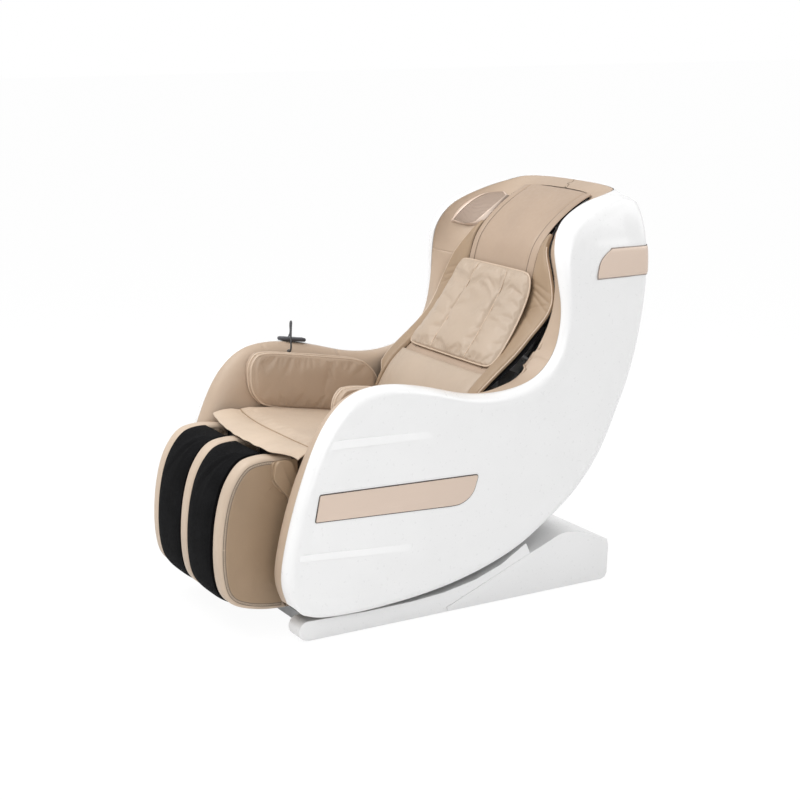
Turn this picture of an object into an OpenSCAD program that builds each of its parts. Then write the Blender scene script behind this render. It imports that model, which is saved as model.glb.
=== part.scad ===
// Reclining massage chair: a one-piece tub shell rocks on a low base, the leg rest
// swings up and a four-roller massage carriage climbs the back. Front faces -Y,
// the sitter's left is +X, Z is up, and the origin is on the floor below the middle
// of the whole length.

/* [Shell] */
// Half width over the arms
shell_half_w = 358; // [350:1:370]
// Wall of the moulded shell
shell_wall = 4; // [3:0.5:5]
// Radius of the soft rim round each side panel
rim_r = 28; // [20:1:34]
// Height where the hood starts to narrow
dome_z = 650; // [600:5:700]
// Height of the hood's crown
crown_z = 1100; // [1090:1:1110]
// Depth that a side panel is sunk below its rim
panel_sink = 3; // [1:0.5:5]
// Wall of the upholstered lining
lining_wall = 10; // [6:1:14]

/* [Trim] */
// Thickness of the trim strips
trim_t = 3; // [2:0.5:4]
// Lower edge of the band round the hood
band_z = 857; // [840:1:870]
// Height of the band round the hood
band_h = 73; // [60:1:80]

/* [Base] */
// Half width over the base covers
base_half_w = 325; // [318:1:330]
// Width of each side rail cover
rail_w = 60; // [54:1:64]
// Wall of the base covers
cover_wall = 3; // [2:0.5:4]
// Height of the rubber feet
foot_h = 8; // [6:1:9]
// Radius of a rubber foot
foot_r = 17; // [12:1:20]
// Height of the base's steel tubes
tube_h = 28; // [20:1:30]
// Radius of the transport wheels
wheel_r = 22; // [18:1:24]

/* [Rocker] */
// Height of the axis that the shell rocks about
rock_z = 700; // [700:1:700]
// Inner radius of the shell's rocker rails
rocker_r = 550; // [546:1:552]
// Flange thickness of the rocker rails
rocker_t = 10; // [8:0.5:11]
// Radius of the base rollers
roller_r = 18; // [16:1:19]
// Largest recline, in degrees
recline_max = 25; // [10:1:25]
// Radius of the pivot pins
pin_r = 6; // [5:0.5:7]

/* [Leg rest] */
// Half width over the leg rest's outer walls
leg_half_w = 215; // [205:1:216]
// Thickness of the padded walls
leg_wall_w = 48; // [40:1:52]
// Height of the leg rest's pivot
leg_pivot_z = 425; // [420:1:428]
// Radius of the leg rest's pivot pins
leg_pin_r = 8; // [6:0.5:9]

/* [Massage carriage] */
// Half distance between the guide rails
guide_x = 140; // [130:1:150]
// Radius of the massage rollers
massage_r = 24; // [20:1:27]
// Radius of the drive pinions
pinion_r = 12; // [10:0.5:13]
// Travel of the carriage up the back
carriage_travel = 280; // [200:5:280]

/* [Pillow and pads] */
// Half width of the back pillow at its foot
pillow_half_w = 212; // [200:1:218]
// Crown of the back pillow
pillow_crown = 26; // [16:1:30]
// Half width of the back curtain
curtain_half_w = 160; // [150:1:168]
// Thickness of the arm airbag pads
arm_pad_t = 24; // [16:1:26]

/* [Handset] */
// Length of the handset
handset_l = 86; // [80:1:100]
// Thickness of the handset
handset_t = 11; // [10:1:14]
// Diameter of the handset cord
cord_d = 5; // [4:0.5:6]

/* [Hidden] */

$fn = 48;
seat_gap = 0.3;            // soft pieces lie this far from what carries them
run_gap = 0.05;            // radial clearance of a pin in its bore
WHITE = "white";
BEIGE = "#cbb7a3";
ROSE = "#d8c5b6";
BLACK = "#1c1c1e";
STEEL = "#8d9094";

// ---- curves and skins -------------------------------------------------------

// Smooth curve through hand-placed points (Catmull-Rom), t from 0 to 1.
function spline(P, t) =
    let(n = len(P) - 1, s = min(max(t, 0), 0.99999) * n, i = floor(s), f = s - i,
        a = P[max(i - 1, 0)], b = P[i], c = P[i + 1], d = P[min(i + 2, n)])
    0.5 * (2 * b + (c - a) * f + (2 * a - 5 * b + 4 * c - d) * f * f
           + (3 * b - a - 3 * c + d) * f * f * f);
function mix(a, b, t) = a + (b - a) * t;
function unit(v) = v / norm(v);
function normal(f, u, v, e = 0.002) =
    unit(cross(f(u + e, v) - f(u - e, v), f(u, v + e) - f(u, v - e)));

// Closed solid between two offsets of a surface f(u, v), both in 0..1.
module skin(f, front, back, nu, nv) {
    cols = nv + 1;
    grid = [for (i = [0:nu], j = [0:nv])
        let(u = i / nu, v = j / nv) [f(u, v), normal(f, u, v), front(u, v), back(u, v)]];
    near = [for (g = grid) g[0] + g[1] * g[2]];
    far = [for (g = grid) g[0] + g[1] * g[3]];
    count = len(near);
    quads = [for (i = [0:nu - 1], j = [0:nv - 1]) let(a = i * cols + j)
        [a, a + 1, a + cols + 1, a + cols]];
    border = concat([for (j = [0:nv - 1]) [j, j + 1]],
                    [for (i = [0:nu - 1]) [i * cols + nv, (i + 1) * cols + nv]],
                    [for (j = [nv - 1:-1:0]) [nu * cols + j + 1, nu * cols + j]],
                    [for (i = [nu - 1:-1:0]) [(i + 1) * cols, i * cols]]);
    faces = concat([for (q = quads, t = [0, 1]) t == 0 ? [q[0], q[1], q[2]] : [q[0], q[2], q[3]]],
                   [for (q = quads, t = [0, 1]) t == 0 ? [q[2], q[1], q[0]] + [count, count, count]
                                                : [q[3], q[2], q[0]] + [count, count, count]],
                   [for (b = border, t = [0, 1]) t == 0 ? [b[1], b[0], b[0] + count]
                                                 : [b[1], b[0] + count, b[1] + count]]);
    polyhedron(concat(near, far), faces, convexity = 6);
}
// 0 at the border of the unit square and 1 inside, with a rounded shoulder.
function crown(u, v, k = 4) =
    sqrt(max(0, 1 - pow(abs(2 * u - 1), k))) * sqrt(max(0, 1 - pow(abs(2 * v - 1), k)));
module both_sides() {
    children();
    mirror([1, 0, 0]) children();
}
// A flat outline in (y, z), given its thickness along X from x0 to x1.
module plate(x0, x1, outline) {
    translate([x0, 0, 0]) rotate([90, 0, 90]) linear_extrude(x1 - x0) polygon(outline);
}
module x_rod(x0, x1, y, z, r) {
    translate([x0, y, z]) rotate([0, 90, 0]) cylinder(h = x1 - x0, r = r);
}

// ---- the tub's two master curves, right up to the middle of the hood ---------

CREST = [
    [322, -478, 112], [322, -495, 175], [322, -476, 285], [322, -434, 420], [322, -376, 548],
    [321, -300, 621], [318, -200, 638], [315, -80, 619], [316, 40, 586], [320, 150, 579],
    [328, 250, 603], [332, 313, 670], [331, 334, 770], [316, 330, 862], [296, 332, 935],
    [268, 370, 999], [240, 460, 1041], [230, 545, 1061], [196, 600, 1073], [0, 616, 1078]];
KEEL = [
    [-438, 78], [-390, 63], [-290, 58], [-190, 62], [-90, 71], [10, 88], [110, 115],
    [210, 156], [300, 214], [385, 280], [462, 375], [517, 490], [553, 575], [582, 675],
    [602, 790], [613, 890], [616, 985], [614, 1040], [611, 1060], [608, 1070]];
// Where the lining's inner edge runs, point for point with CREST.
INNER = [
    [262, -428, 118], [262, -446, 178], [262, -425, 285], [262, -376, 400], [261, -314, 422],
    [260, -250, 426], [259, -170, 424], [259, -70, 416], [260, 40, 416], [272, 150, 540],
    [280, 222, 588], [281, 298, 676], [278, 350, 770], [242, 372, 852], [192, 394, 915],
    [168, 442, 970], [166, 506, 1016], [150, 552, 1042], [110, 568, 1053], [0, 570, 1056]];
// Middle line of the back's cover, (y, z), from the seat to the hood's top.
COVER = [
    [66, 452], [92, 505], [130, 562], [185, 610], [252, 662], [315, 730], [350, 792],
    [364, 858], [387, 923], [443, 983], [507, 1027], [556, 1049]];

function dome(z) =
    z <= dome_z ? 1
    : pow(max(0.02, 1 - pow((z - dome_z) / (crown_z - dome_z), 2.5)), 1 / 4.9);
function outer_x(z) = shell_half_w * dome(z);
function keel(t) = spline(KEEL, t);
// The crest keeps its place across as the shell gets wider or narrower.
crest_share = shell_half_w / 358;
function crest(t) = let(c = spline(CREST, t)) [c[0] * crest_share, c[1], c[2]];

// Section of a side panel from the crest (s = 0) over the rim, down the sunk face
// and round the lower rim (s = 1): a quarter ellipse, a flat and a quarter circle.
SIDE_STEPS = [0, 0.34, 0.7, 1, 1.08, 1.5, 1.92, 2, 2.35, 2.7, 3];
function side_point(t, s) =
    let(c = crest(t), k = keel(t), flat = [k[0] - c[1], k[1] - c[2]], reach = norm(flat),
        w = flat / reach, r = min(rim_r, reach / 2.2), q = SIDE_STEPS[len(SIDE_STEPS) - 1],
        a = s * q,
        d = a < 1 ? r * (1 - cos(90 * a))
            : a < 2 ? mix(r, reach - r, a - 1)
            : reach - r * (1 - sin(90 * (a - 2))),
        z = c[2] + w[1] * d, xo = outer_x(z),
        sink = panel_sink * min(1, 12.5 * max(0, min(a - 1, 2 - a))) * min(1, reach / 200),
        x = a < 1 ? mix(c[0], xo, sin(90 * a))
            : a < 2 ? xo - sink
            : xo - r * (1 - cos(90 * (a - 2))))
    [x, c[1] + w[0] * d, z];
function side_face(u, v) =
    let(n = len(SIDE_STEPS) - 1, i = max(0, min(floor(v * n), n - 1)), f = v * n - i)
    side_point(u * side_end, mix(SIDE_STEPS[i], SIDE_STEPS[i + 1], f) / 3);
side_end = 17 / 19;
seam_gap = 0.4;

module side_shell() {
    skin(function(u, v) side_face(u, 1 - v), function(u, v) 0, function(u, v) -shell_wall, 44, 10);
}
module side_shell_left() { color(WHITE) side_shell(); }
module side_shell_right() { color(WHITE) mirror([1, 0, 0]) side_shell(); }

// Back panel between the two side panels: up the rear, then over to the crest.
back_foot = 9 / 19;
back_top = 17 / 19;
function back_face(u, v) =
    let(across = 2 * u - 1, w = max(0, v * 1.25 - 1) * 4, t = mix(back_foot, back_top, min(1, v * 1.25)),
        k = keel(t), half = outer_x(k[1]) - rim_r - seam_gap,
        a = [-across * half, k[0] - 0.5, k[1]],
        b = crest(mix(1, back_top, abs(across))), q = [mix(a[0], -sign(across) * b[0], 0.5), k[0] - 1, b[2]])
    w <= 0 ? a
    : a * (1 - w) * (1 - w) + q * 2 * w * (1 - w) + [-sign(across) * b[0], b[1], b[2]] * w * w;
module back_shell() {
    color(WHITE)
        skin(function(u, v) back_face(u, v), function(u, v) 0,
             function(u, v) -mix(shell_wall, 1.6, max(0, 5 * v - 4)), 16, 25);
}

// Curved pan under the seat, with a slot down its middle for the recline drive.
belly_r = rocker_r + rocker_t + 6;
module arc_band(r0, r1, x0, x1, a0, a1) {
    translate([x0, 0, rock_z]) rotate([0, 90, 0]) rotate([0, 0, a0])
        rotate_extrude(angle = a1 - a0, $fn = 180)
            translate([r0, 0]) square([r1 - r0, x1 - x0]);
}
module belly_pan() {
    color(WHITE) difference() {
        arc_band(belly_r, belly_r + 4, -165, 165, 16, 40);
        arc_band(belly_r - 5, belly_r + 9, -60, 60, 15, 36.5);
    }
}

// ---- trims -----------------------------------------------------------------

module side_trim() {
    outline = concat([[-412, 322], [-399, 388], [42, 376]],
        [for (a = [70:-20:-10]) [46 + 17 * cos(a), 358 + 17 * sin(a)]],
        [[50, 334], [36, 318], [18, 308], [-2, 303]]);
    color(ROSE)
        plate(shell_half_w - panel_sink + 0.5, shell_half_w - panel_sink + 0.5 + trim_t,
              outline);
}
module side_trims() { both_sides() side_trim(); }

// U-shaped band round the hood: path parameter u runs side, corner, back, corner, side.
band_front = 440;
band_corner = rim_r + 0.4;
function band_path(u, z) =
    let(half = outer_x(z) + 0.4, back = keel_y_at(z) + 0.4, r = band_corner,
        e = 0.84 * r, side = back - e - band_front, across = 2 * (half - r), arc = r * PI / 2,
        total = 2 * side + 2 * arc + across, s = u * total)
    s < side ? [half, band_front + s]
    : s < side + arc ? [half - r + r * cos((s - side) / r * 180 / PI),
                        back - e + e * sin((s - side) / r * 180 / PI)]
    : s < side + arc + across ? [half - r - (s - side - arc), back]
    : s < side + 2 * arc + across
        ? [-half + r - r * sin((s - side - arc - across) / r * 180 / PI),
           back - e + e * cos((s - side - arc - across) / r * 180 / PI)]
    : [-half, back - e - (s - side - 2 * arc - across)];
REAR = [for (i = [0:40]) let(k = keel((12 + 6 * i / 40) / 19)) [k[1], k[0]]];
function keel_y_at(z) = lookup(z, REAR);
function band_face(u, v) =
    let(z = mix(band_z, band_z + band_h, v), p = band_path(u, z)) [p[0], p[1], z];
module hood_band() {
    // its side legs sink into the panel, its back lies on the rear shell
    color(ROSE) skin(function(u, v) band_face(u, v), function(u, v) trim_t,
        function(u, v) 0.7 - max(0, min(2.6, (560 - band_face(u, v)[1]) / 13)), 60, 3);
}

// ---- lining ----------------------------------------------------------------

// Over the arms the leather rolls inwards first and then down to its inner edge;
// inside the hood it runs back first and then inwards.
function hooded(t) = let(h = min(1, max(0, (t * 19 - 11) / 3))) h * h * (3 - 2 * h);
function lining_point(t, s) =
    let(c = crest(t), v = spline(INNER, t), h = hooded(t), p = max(0, s), q = max(0, 1 - s),
        roll = mix(1 - pow(q, 2.6), pow(p, 1.3), h), drop = mix(pow(p, 1.6), 1 - q * q, h),
        a = c + mix(1.2, 4.8, h) * unit(v - c))
    [mix(a[0], v[0], roll), mix(a[1], v[1], drop), mix(a[2], v[2], drop)]
    + mix(10, 2, h) * sin(180 * s) * lining_out(t);
// Unit direction in which the crest stands proud, in the Y-Z plane.
function lining_out(t) =
    let(a = crest(t - 0.01), b = crest(t + 0.01), d = unit([0, b[1] - a[1], b[2] - a[2]]))
    t < 0.86 ? [0, -d[2], d[1]] * 0.8 : [0, -0.3, 0.6];
// The lining's back: thin at the crest, where it meets the shell.
function lining_back(v) = -mix(0.4, lining_wall, min(1, v * 2.2));
module lining(t0, t1, nu) {
    skin(function(u, v) lining_point(mix(t0, t1, u), v),
         function(u, v) 0, function(u, v) lining_back(v), nu, 8);
}
hood_seam = 13 / 19;
module arm_lining_left() { color(BEIGE) lining(0, hood_seam, 36); }
module arm_lining_right() { color(BEIGE) mirror([1, 0, 0]) lining(0, hood_seam, 36); }
module hood_lining() {
    color(BEIGE)
        skin(function(u, v) u < 0.5 ? lining_point(mix(hood_seam + 0.002, 0.9999, 2 * u), v)
                 : let(p = lining_point(mix(0.9999, hood_seam + 0.002, 2 * u - 1), v))
                   [-p[0], p[1], p[2]],
             function(u, v) 0, function(u, v) lining_back(v), 36, 7);
}

// ---- back and seat soft pieces ----------------------------------------------

// Surface along the back: u from the sitter's left to right, v up COVER from a to b.
function on_cover(u, v, half_a, half_b, a, b, lift) =
    let(p = spline(COVER, mix(a, b, v)), q = spline(COVER, mix(a, b, v) + 0.01),
        d = unit([0, q[0] - p[0], q[1] - p[1]]), n = [0, -d[2], d[1]],
        x = (2 * u - 1) * mix(half_a, half_b, v))
    [x, p[0], p[1]] + n * lift;
// Half width of the mesh sheet behind the pads, from its foot to its head.
MESH_W = [[248, 0], [268, 0], [272, 0], [268, 0], [238, 0], [184, 0], [154, 0]];
module back_mesh() {
    color(BLACK)
        skin(function(u, v) let(w = spline(MESH_W, v)[0]) on_cover(u, v, w, w, 0.15, 0.8, -8),
             function(u, v) 2, function(u, v) -2, 12, 18);
}
module back_curtain() {
    color(BEIGE)
        skin(function(u, v) on_cover(u, v, curtain_half_w, curtain_half_w - 8,
                                     0.33, 0.985 - 0.06 * pow(abs(2 * u - 1), 2.5), 0),
             function(u, v) 1.5 + 3 * crown(u, v, 6), function(u, v) -4.8, 12, 18);
}
module lumbar_pad() {
    color(BEIGE)
        skin(function(u, v) on_cover(u, v, 208, 208, 0.03, 0.25, 0),
             function(u, v) 2 + 9 * crown(u, v, 5), function(u, v) -5, 12, 8);
}
module side_wing() {
    color(BEIGE)
        skin(function(u, v) let(p = on_cover(1, v, 252 - 16 * pow(abs(2 * v - 1), 3), 236, 0.26, 0.6, 0))
                 [p[0] - (1 - u) * mix(30, 46, v), p[1], p[2]],
             function(u, v) 2 + 10 * crown(u, v, 3), function(u, v) -5, 6, 12);
}
module side_wings() { both_sides() side_wing(); }

// Pillow: three sewn panels over a crowned cushion.
PILLOW = [[190, 616], [232, 658], [287, 730], [330, 800], [346, 852]];
pillow_top_w = 172;
function pillow_line(u, v) =
    let(p = spline(PILLOW, v), x = (2 * u - 1) * mix(pillow_half_w, pillow_top_w, pow(max(0, v), 1.6)),
        cut = 1 - 0.06 * pow(abs(2 * v - 1), 10))
    [x * cut, p[0], p[1]];
function channel(u, at) = exp(-pow((u - at) / 0.035, 2));
module pillow() {
    color(BEIGE)
        skin(function(u, v) pillow_line(u, v),
             function(u, v) 3 + pillow_crown * crown(u, v, 3)
                 - 7 * (channel(u, 0.29) + channel(u, 0.71)) * crown(u, v, 6),
             function(u, v) -2 - 4 * crown(u, v, 4), 24, 12);
}

SEAT = [[-362, 470], [-325, 472], [-240, 462], [-150, 448], [-60, 434], [20, 428], [60, 436]];
function seat_top(u, v) =
    let(p = spline(SEAT, v)) [(2 * u - 1) * 252, p[0], p[1]];
seat_pan_z = 384;
seat_pan_t = 12;
module seat_pad() {
    color(BEIGE)
        skin(function(u, v) seat_top(u, v), function(u, v) 5 * crown(u, v, 5),
             function(u, v) seat_pan_z + seat_pan_t + seat_gap - seat_top(u, v)[2], 12, 14);
}
module seat_pan() {
    color(STEEL) translate([-244, -376, seat_pan_z]) cube([488, 436, seat_pan_t]);
}
// Leather flap from the seat's front seam over the top of the leg rest.
APRON = [[-364.2, 470], [-390, 477], [-427, 478], [-463, 474]];
module seat_apron() {
    color(BEIGE)
        skin(function(u, v) let(p = spline(APRON, 1 - u), a = 2 * v - 1, bow = (26 * a * a - 18 * a) * (1 - u))
                 [a * 228, p[0] + bow, p[1]],
             function(u, v) 2.6 + 1.3 * sin(977 * v + 70 * u) * (1 - u),
             function(u, v) -2.4 - 0.7 * crown(u, v, 2), 5, 23);
}

// Airbag pad on each arm's inner wall; its back follows the lining behind it.
pad_x = 236;
function arm_wall_x(y, z) =
    let(t = y < -170 ? mix(4, 6, (y + 376) / 176) / 19 : mix(6, 9, (y + 200) / 350) / 19,
        c = crest(t), v = spline(INNER, t), rise = c[2] - v[2],
        s0 = pow(max(0.001, min(1, (c[2] - z) / rise)), 0.625),
        s = pow(max(0.001, min(1, (c[2] + 8 * sin(180 * s0) - z) / rise)), 0.625))
    mix(c[0], v[0], 1 - pow(1 - s, 2.6));
module arm_pad() {
    function face(u, v) =
        let(y = mix(-300 + 28 * pow(abs(2 * v - 1.05), 3), 104 - 50 * v * v, u),
            top = 626 - 0.172 * (y + 265), foot = max(437.5, 474 - 0.165 * (y + 272)),
            half = (top - foot) / 2 * (1 - 0.12 * pow(abs(2 * u - 1), 8)))
        [pad_x, y, (top + foot) / 2 + (2 * v - 1) * half];
    color(BEIGE)
        skin(function(u, v) face(1 - u, v),
             function(u, v) 2 + (arm_pad_t - 12) * crown(u, v, 5),
             function(u, v) let(p = face(1 - u, v)) pad_x + 0.9 - min(272, arm_wall_x(p[1], p[2])), 16, 8);
}
module arm_pad_left() { arm_pad(); }
module arm_pad_right() { mirror([1, 0, 0]) arm_pad(); }

// ---- speakers ---------------------------------------------------------------

// Leaf-shaped pod in the upper corner of the hood; u runs along it, v across.
pod_lift = 1.2;
POD_TOP = [[14.35, 0.25], [14.85, 0.22], [15.45, 0.19], [15.8, 0.26], [16.1, 0.58]];
POD_FOOT = [[14.35, 0.45], [14.42, 0.72], [14.6, 0.88], [15.2, 0.92], [15.95, 0.88]];
function pod_leaf(u, v) =
    let(p = mix(spline(POD_TOP, u), spline(POD_FOOT, u), v)) lining_point(p[0] / 19, p[1]);
module speaker_pod() {
    color(BEIGE)
        skin(function(u, v) pod_leaf(u, v),
             function(u, v) pod_lift + 10, function(u, v) pod_lift, 14, 6);
}
module speaker_grille() {
    color(ROSE)
        skin(function(u, v) pod_leaf(mix(0.1, 0.9, u), mix(0.16, 0.84, v)),
             function(u, v) pod_lift + 11.8 + 2 * crown(u, v, 2), function(u, v) pod_lift + 10.3, 14, 6);
}
module speaker_pods() { both_sides() speaker_pod(); }
module speaker_grilles() { both_sides() speaker_grille(); }

// ---- handset and its cord -----------------------------------------------------

handset_pos = [-327, -128, 628.4];
handset_tilt = [-9, -6, 0];
handset_w = 54;
boot = [-16, 2, 9];        // cord boot: place on the top face, and height
module at_handset() { translate(handset_pos) rotate(handset_tilt) children(); }
module stadium(l, w, h) {
    for (s = [-1, 1]) translate([0, s * (l - w) / 2, 0]) cylinder(h = h, r = w / 2);
    translate([-w / 2, -(l - w) / 2, 0]) cube([w, l - w, h]);
}
key_depth = 5;
key_proud = 1.2;
HANDSET_KEYS = [[2, 27, 6], [2, -27, 6], [6, 0, 11]];
module handset() {
    color(BLACK) at_handset() difference() {
        union() {
            stadium(handset_l - 6, handset_w - 6, handset_t);
            translate([0, 0, 2]) stadium(handset_l, handset_w, handset_t - 5);
            translate([boot[0], boot[1], handset_t - 1]) cylinder(h = boot[2] + 1, r1 = 5.6, r2 = 3.2);
        }
        for (p = HANDSET_KEYS) translate([p[0], p[1], handset_t - key_depth])
            cylinder(h = key_depth + 1, r = p[2] + 0.4);
    }
}
module key(i) {
    color("#3a3b40") at_handset()
        translate([HANDSET_KEYS[i][0], HANDSET_KEYS[i][1], handset_t - key_depth + 1.6])
            cylinder(h = key_depth - 1.6 + key_proud, r = HANDSET_KEYS[i][2]);
}
module power_button() { key(0); }
module pause_button() { key(1); }
module level_rocker() { key(2); }

CORD = [
    [-277, -159.6, 612.1], [-270.6, -159.5, 615.9], [-267, -159.5, 626], [-269, -159, 645],
    [-274, -156, 662], [-284, -150, 677], [-298, -142, 686.5], [-314, -135, 688],
    [-330, -129, 681.5], [-340.5, -124.5, 670], [-345.9, -121.3, 656], [-344.9, -122.9, 646.3]];
cord_sides = 8;
cord_rings = 36;
module tube_along(P, r, sides, rings) {
    path = [for (i = [0:rings]) spline(P, i / rings)];
    ways = [for (i = [0:rings]) unit(path[min(i + 1, rings)] - path[max(i - 1, 0)])];
    points = [for (i = [0:rings], j = [0:sides - 1])
        let(w = ways[i], a = unit(cross(w, [0.85, 0.5, 0.1])), b = cross(w, a),
            g = 360 * j / sides)
        path[i] + r * (cos(g) * a + sin(g) * b)];
    walls = [for (i = [0:rings - 1], j = [0:sides - 1], t = [0, 1])
        let(k = (j + 1) % sides, a = i * sides + j, b = i * sides + k)
        t == 0 ? [a, a + sides, b] : [b, a + sides, b + sides]];
    polyhedron(points, concat(walls, [[for (j = [0:sides - 1]) j]],
        [[for (j = [sides - 1:-1:0]) rings * sides + j]]), convexity = 4);
}
module handset_cord() { color(BLACK) tube_along(CORD, cord_d / 2, cord_sides, cord_rings); }
module cord_grommet() {
    way = unit(spline(CORD, 1 / cord_rings) - CORD[0]);
    color(BLACK) translate(CORD[0]) rotate([0, acos(way[2]), atan2(way[1], way[0])])
        translate([0, 0, -5]) cylinder(h = 5, r = 6);
}

// ---- shell frame, guide rails -------------------------------------------------

// Frame of the back: local Z runs up the back, local Y goes into it.
back_lean = 33.7;
module on_back() { translate([0, 150, 560]) rotate([-back_lean, 0, 0]) children(); }
leg_pivot_y = -440;
frame_x = 250;
frame_t = 4;
weld = 0.05;                // a frame's members lie this far apart at their welds
cross_r = 10;
function rocker_pos(a, r) = [r * sin(a), rock_z - r * cos(a)];
stud_x = shell_half_w - panel_sink - shell_wall - seat_gap;
mesh_back = 39.5;
BARS = [[-12, rocker_r - 30], [15, rocker_r - 60], [38, rocker_r - 26]];
web_r = rocker_r - 70;     // inner edge of the rocker rails' webs
motor_bar = [-55, 340];
recline_eye = [-150, 150];
push_r = 12.4;
legrest_roller = [-394.7 + 0.3 + push_r, leg_pivot_z - 62];
legrest_motor_eye = [-95, legrest_roller[1]];
module eye_plates(p, q, gap_x, t) {
    // Two plates that reach from the bar at p to the eye at q.
    for (s = [-1, 1]) translate([s > 0 ? gap_x : -gap_x - t, 0, 0]) rotate([90, 0, 90])
        linear_extrude(t) difference() {
            union() {
                translate(q) circle(r = 13);
                translate(p) circle(r = 13);
                polygon([p + [0, 12], p - [0, 12], q - [0, 12], q + [0, 12]]);
            }
            translate(q) circle(r = pin_r + run_gap);
            translate(p) circle(r = cross_r + weld);
        }
}
module shell_frame() {
    top = seat_pan_z - seat_gap;
    side = [[-384, 296], [-384, top], [60, top], [100, 372], [250, 400], [340, 360], [378, 290],
            [340, 250], [160, 168], [-130, 164], [-260, 240]];
    ear = [[-384 - weld, 306], [-384 - weld, 340], [-418, 448], [-452, 448], [-462, 410]];
    color(STEEL) {
        both_sides() {
            plate(frame_x, frame_x + frame_t, side);
            difference() {
                plate(222, 228, ear);
                x_rod(220, 230, leg_pivot_y, leg_pivot_z, leg_pin_r + run_gap);
            }
            // rocker rail: flange, and web bored for the cross tubes
            arc_band(rocker_r, rocker_r + rocker_t, 188, 212, -18, 45);
            difference() {
                arc_band(web_r, rocker_r, 197, 203, -18, 45);
                for (b = BARS) let(p = rocker_pos(b[0], b[1]))
                    x_rod(190, 210, p[0], p[1], cross_r + weld);
            }
            // upright of the back, with a hanger for the mesh
            on_back() {
                translate([180, 170, -120 + weld]) cube([20, 24, 552]);
                translate([182, mesh_back, 140]) cube([48, 170 - weld - mesh_back, 6]);
            }
            // ledge under the seat, tabs for the belly pan, studs for the side shells
            translate([224, -376, top - 4]) cube([frame_x - weld - 224, 436, 4]);
            for (a = [19, 36]) {
                arc_band(rocker_r + 2, rocker_r + rocker_t - 1, 150, 188 - weld, a, a + 3);
                arc_band(rocker_r + 2, belly_r - seat_gap, 150, 175, a, a + 3);
            }
            for (y = [-220, 190]) {
                x_rod(frame_x + frame_t + weld, stud_x, y, 326, 8);
                x_rod(stud_x - 3, stud_x, y, 326, 22);
            }
        }
        bar_x = frame_x - weld;
        translate([-bar_x, -384, 306]) cube([2 * bar_x, 20, 34]);
        for (b = BARS) let(p = rocker_pos(b[0], b[1]))
            x_rod(-bar_x, bar_x, p[0], p[1], cross_r);
        x_rod(-bar_x, bar_x, motor_bar[0], motor_bar[1], cross_r);
        on_back() translate([-bar_x, 168, -140]) cube([2 * bar_x, 28, 20]);
        for (z = [30, 410]) on_back() translate([weld - 180, 176, z]) cube([360 - 2 * weld, 14, 20]);
        eye_plates(rocker_pos(BARS[0][0], BARS[0][1]), recline_eye, 9, 4);
        eye_plates(motor_bar, legrest_motor_eye, 9, 4);
        x_rod(-13, 13, legrest_motor_eye[0], legrest_motor_eye[1], pin_r);
    }
}
guide_z0 = 0;
guide_len = 440;
guide_y = 150;
module guide_rail() {
    on_back() translate([guide_x, guide_y, guide_z0]) difference() {
        translate([-6, 0, 0]) cube([16, 26, guide_len]);
        translate([-7, 4, -1]) cube([11, 18, guide_len + 2]);
    }
}
module guide_rails() { color(STEEL) both_sides() guide_rail(); }

// ---- massage carriage ---------------------------------------------------------

carriage_z = 60;
arm_axis = [0, 138, 0];
roller_y = 100;
roller_z = 46;
roller_w = 16;
roller_x = 62;
module at_carriage() { on_back() translate([0, 0, carriage_z]) children(); }
module carriage_frame() {
    color("#55585d") at_carriage() difference() {
        union() {
            translate([-118, 150, -52]) cube([236, 4, 104]);
            for (z = [-52, 48]) translate([-118, 150, z]) cube([236, 26, 4]);
            for (s = [-1, 1]) translate([s * 118 - 2, 150, -52]) cube([4, 26, 104]);
            for (s = [-1, 1], z = [-40, 40]) translate([s * 118, 163, z]) rotate([0, s * 90, 0])
                cylinder(h = 24, r = 6);
            for (s = [-1, 1], e = [-1, 1])
                translate([s * roller_x + e * 12 - 2, 128, -12]) cube([4, 22, 24]);
            translate([-50, 154, -34]) cube([100, 22, 68]);
        }
        for (s = [-1, 1], e = [-1, 1])
            translate([s * roller_x + e * 12 - 3, arm_axis[1], 0]) rotate([0, 90, 0])
                cylinder(h = 6, r = 4 + run_gap);
        translate([-130, 163, 0]) rotate([0, 90, 0]) cylinder(h = 74, r = 4 + run_gap);
        translate([56, 163, 0]) rotate([0, 90, 0]) cylinder(h = 74, r = 4 + run_gap);
        translate([-56, 163, 0]) rotate([0, 90, 0]) cylinder(h = 112, r = 6);
    }
}
module drive_axle() {
    color(STEEL) at_carriage() {
        translate([-136, 163, 0]) rotate([0, 90, 0]) cylinder(h = 272, r = 4);
        for (s = [-1, 1]) translate([s * 129 - 4, 163, 0]) rotate([0, 90, 0])
            cylinder(h = 8, r = pinion_r - 3.4);
    }
}
module knead_arm() {
    color("#3d4045") at_carriage() {
        difference() {
            translate([roller_x - 9, 0, 0]) rotate([90, 0, 90]) linear_extrude(6) polygon([
                [146, -9], [146, 9], [120, 20], [roller_y + 8, roller_z + 8],
                [roller_y - 8, roller_z + 8], [roller_y - 8, roller_z - 6], [112, 0],
                [roller_y - 8, -roller_z + 6], [roller_y - 8, -roller_z - 8],
                [roller_y + 8, -roller_z - 8], [120, -20]]);
        }
        translate([roller_x - 14, arm_axis[1], 0]) rotate([0, 90, 0]) cylinder(h = 28, r = 4);
        for (s = [-1, 1]) translate([roller_x - 3, roller_y, s * roller_z]) rotate([0, 90, 0])
            cylinder(h = roller_w + 5, r = 4);
    }
}
module knead_arm_left() { knead_arm(); }
module knead_arm_right() { mirror([1, 0, 0]) knead_arm(); }
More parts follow.
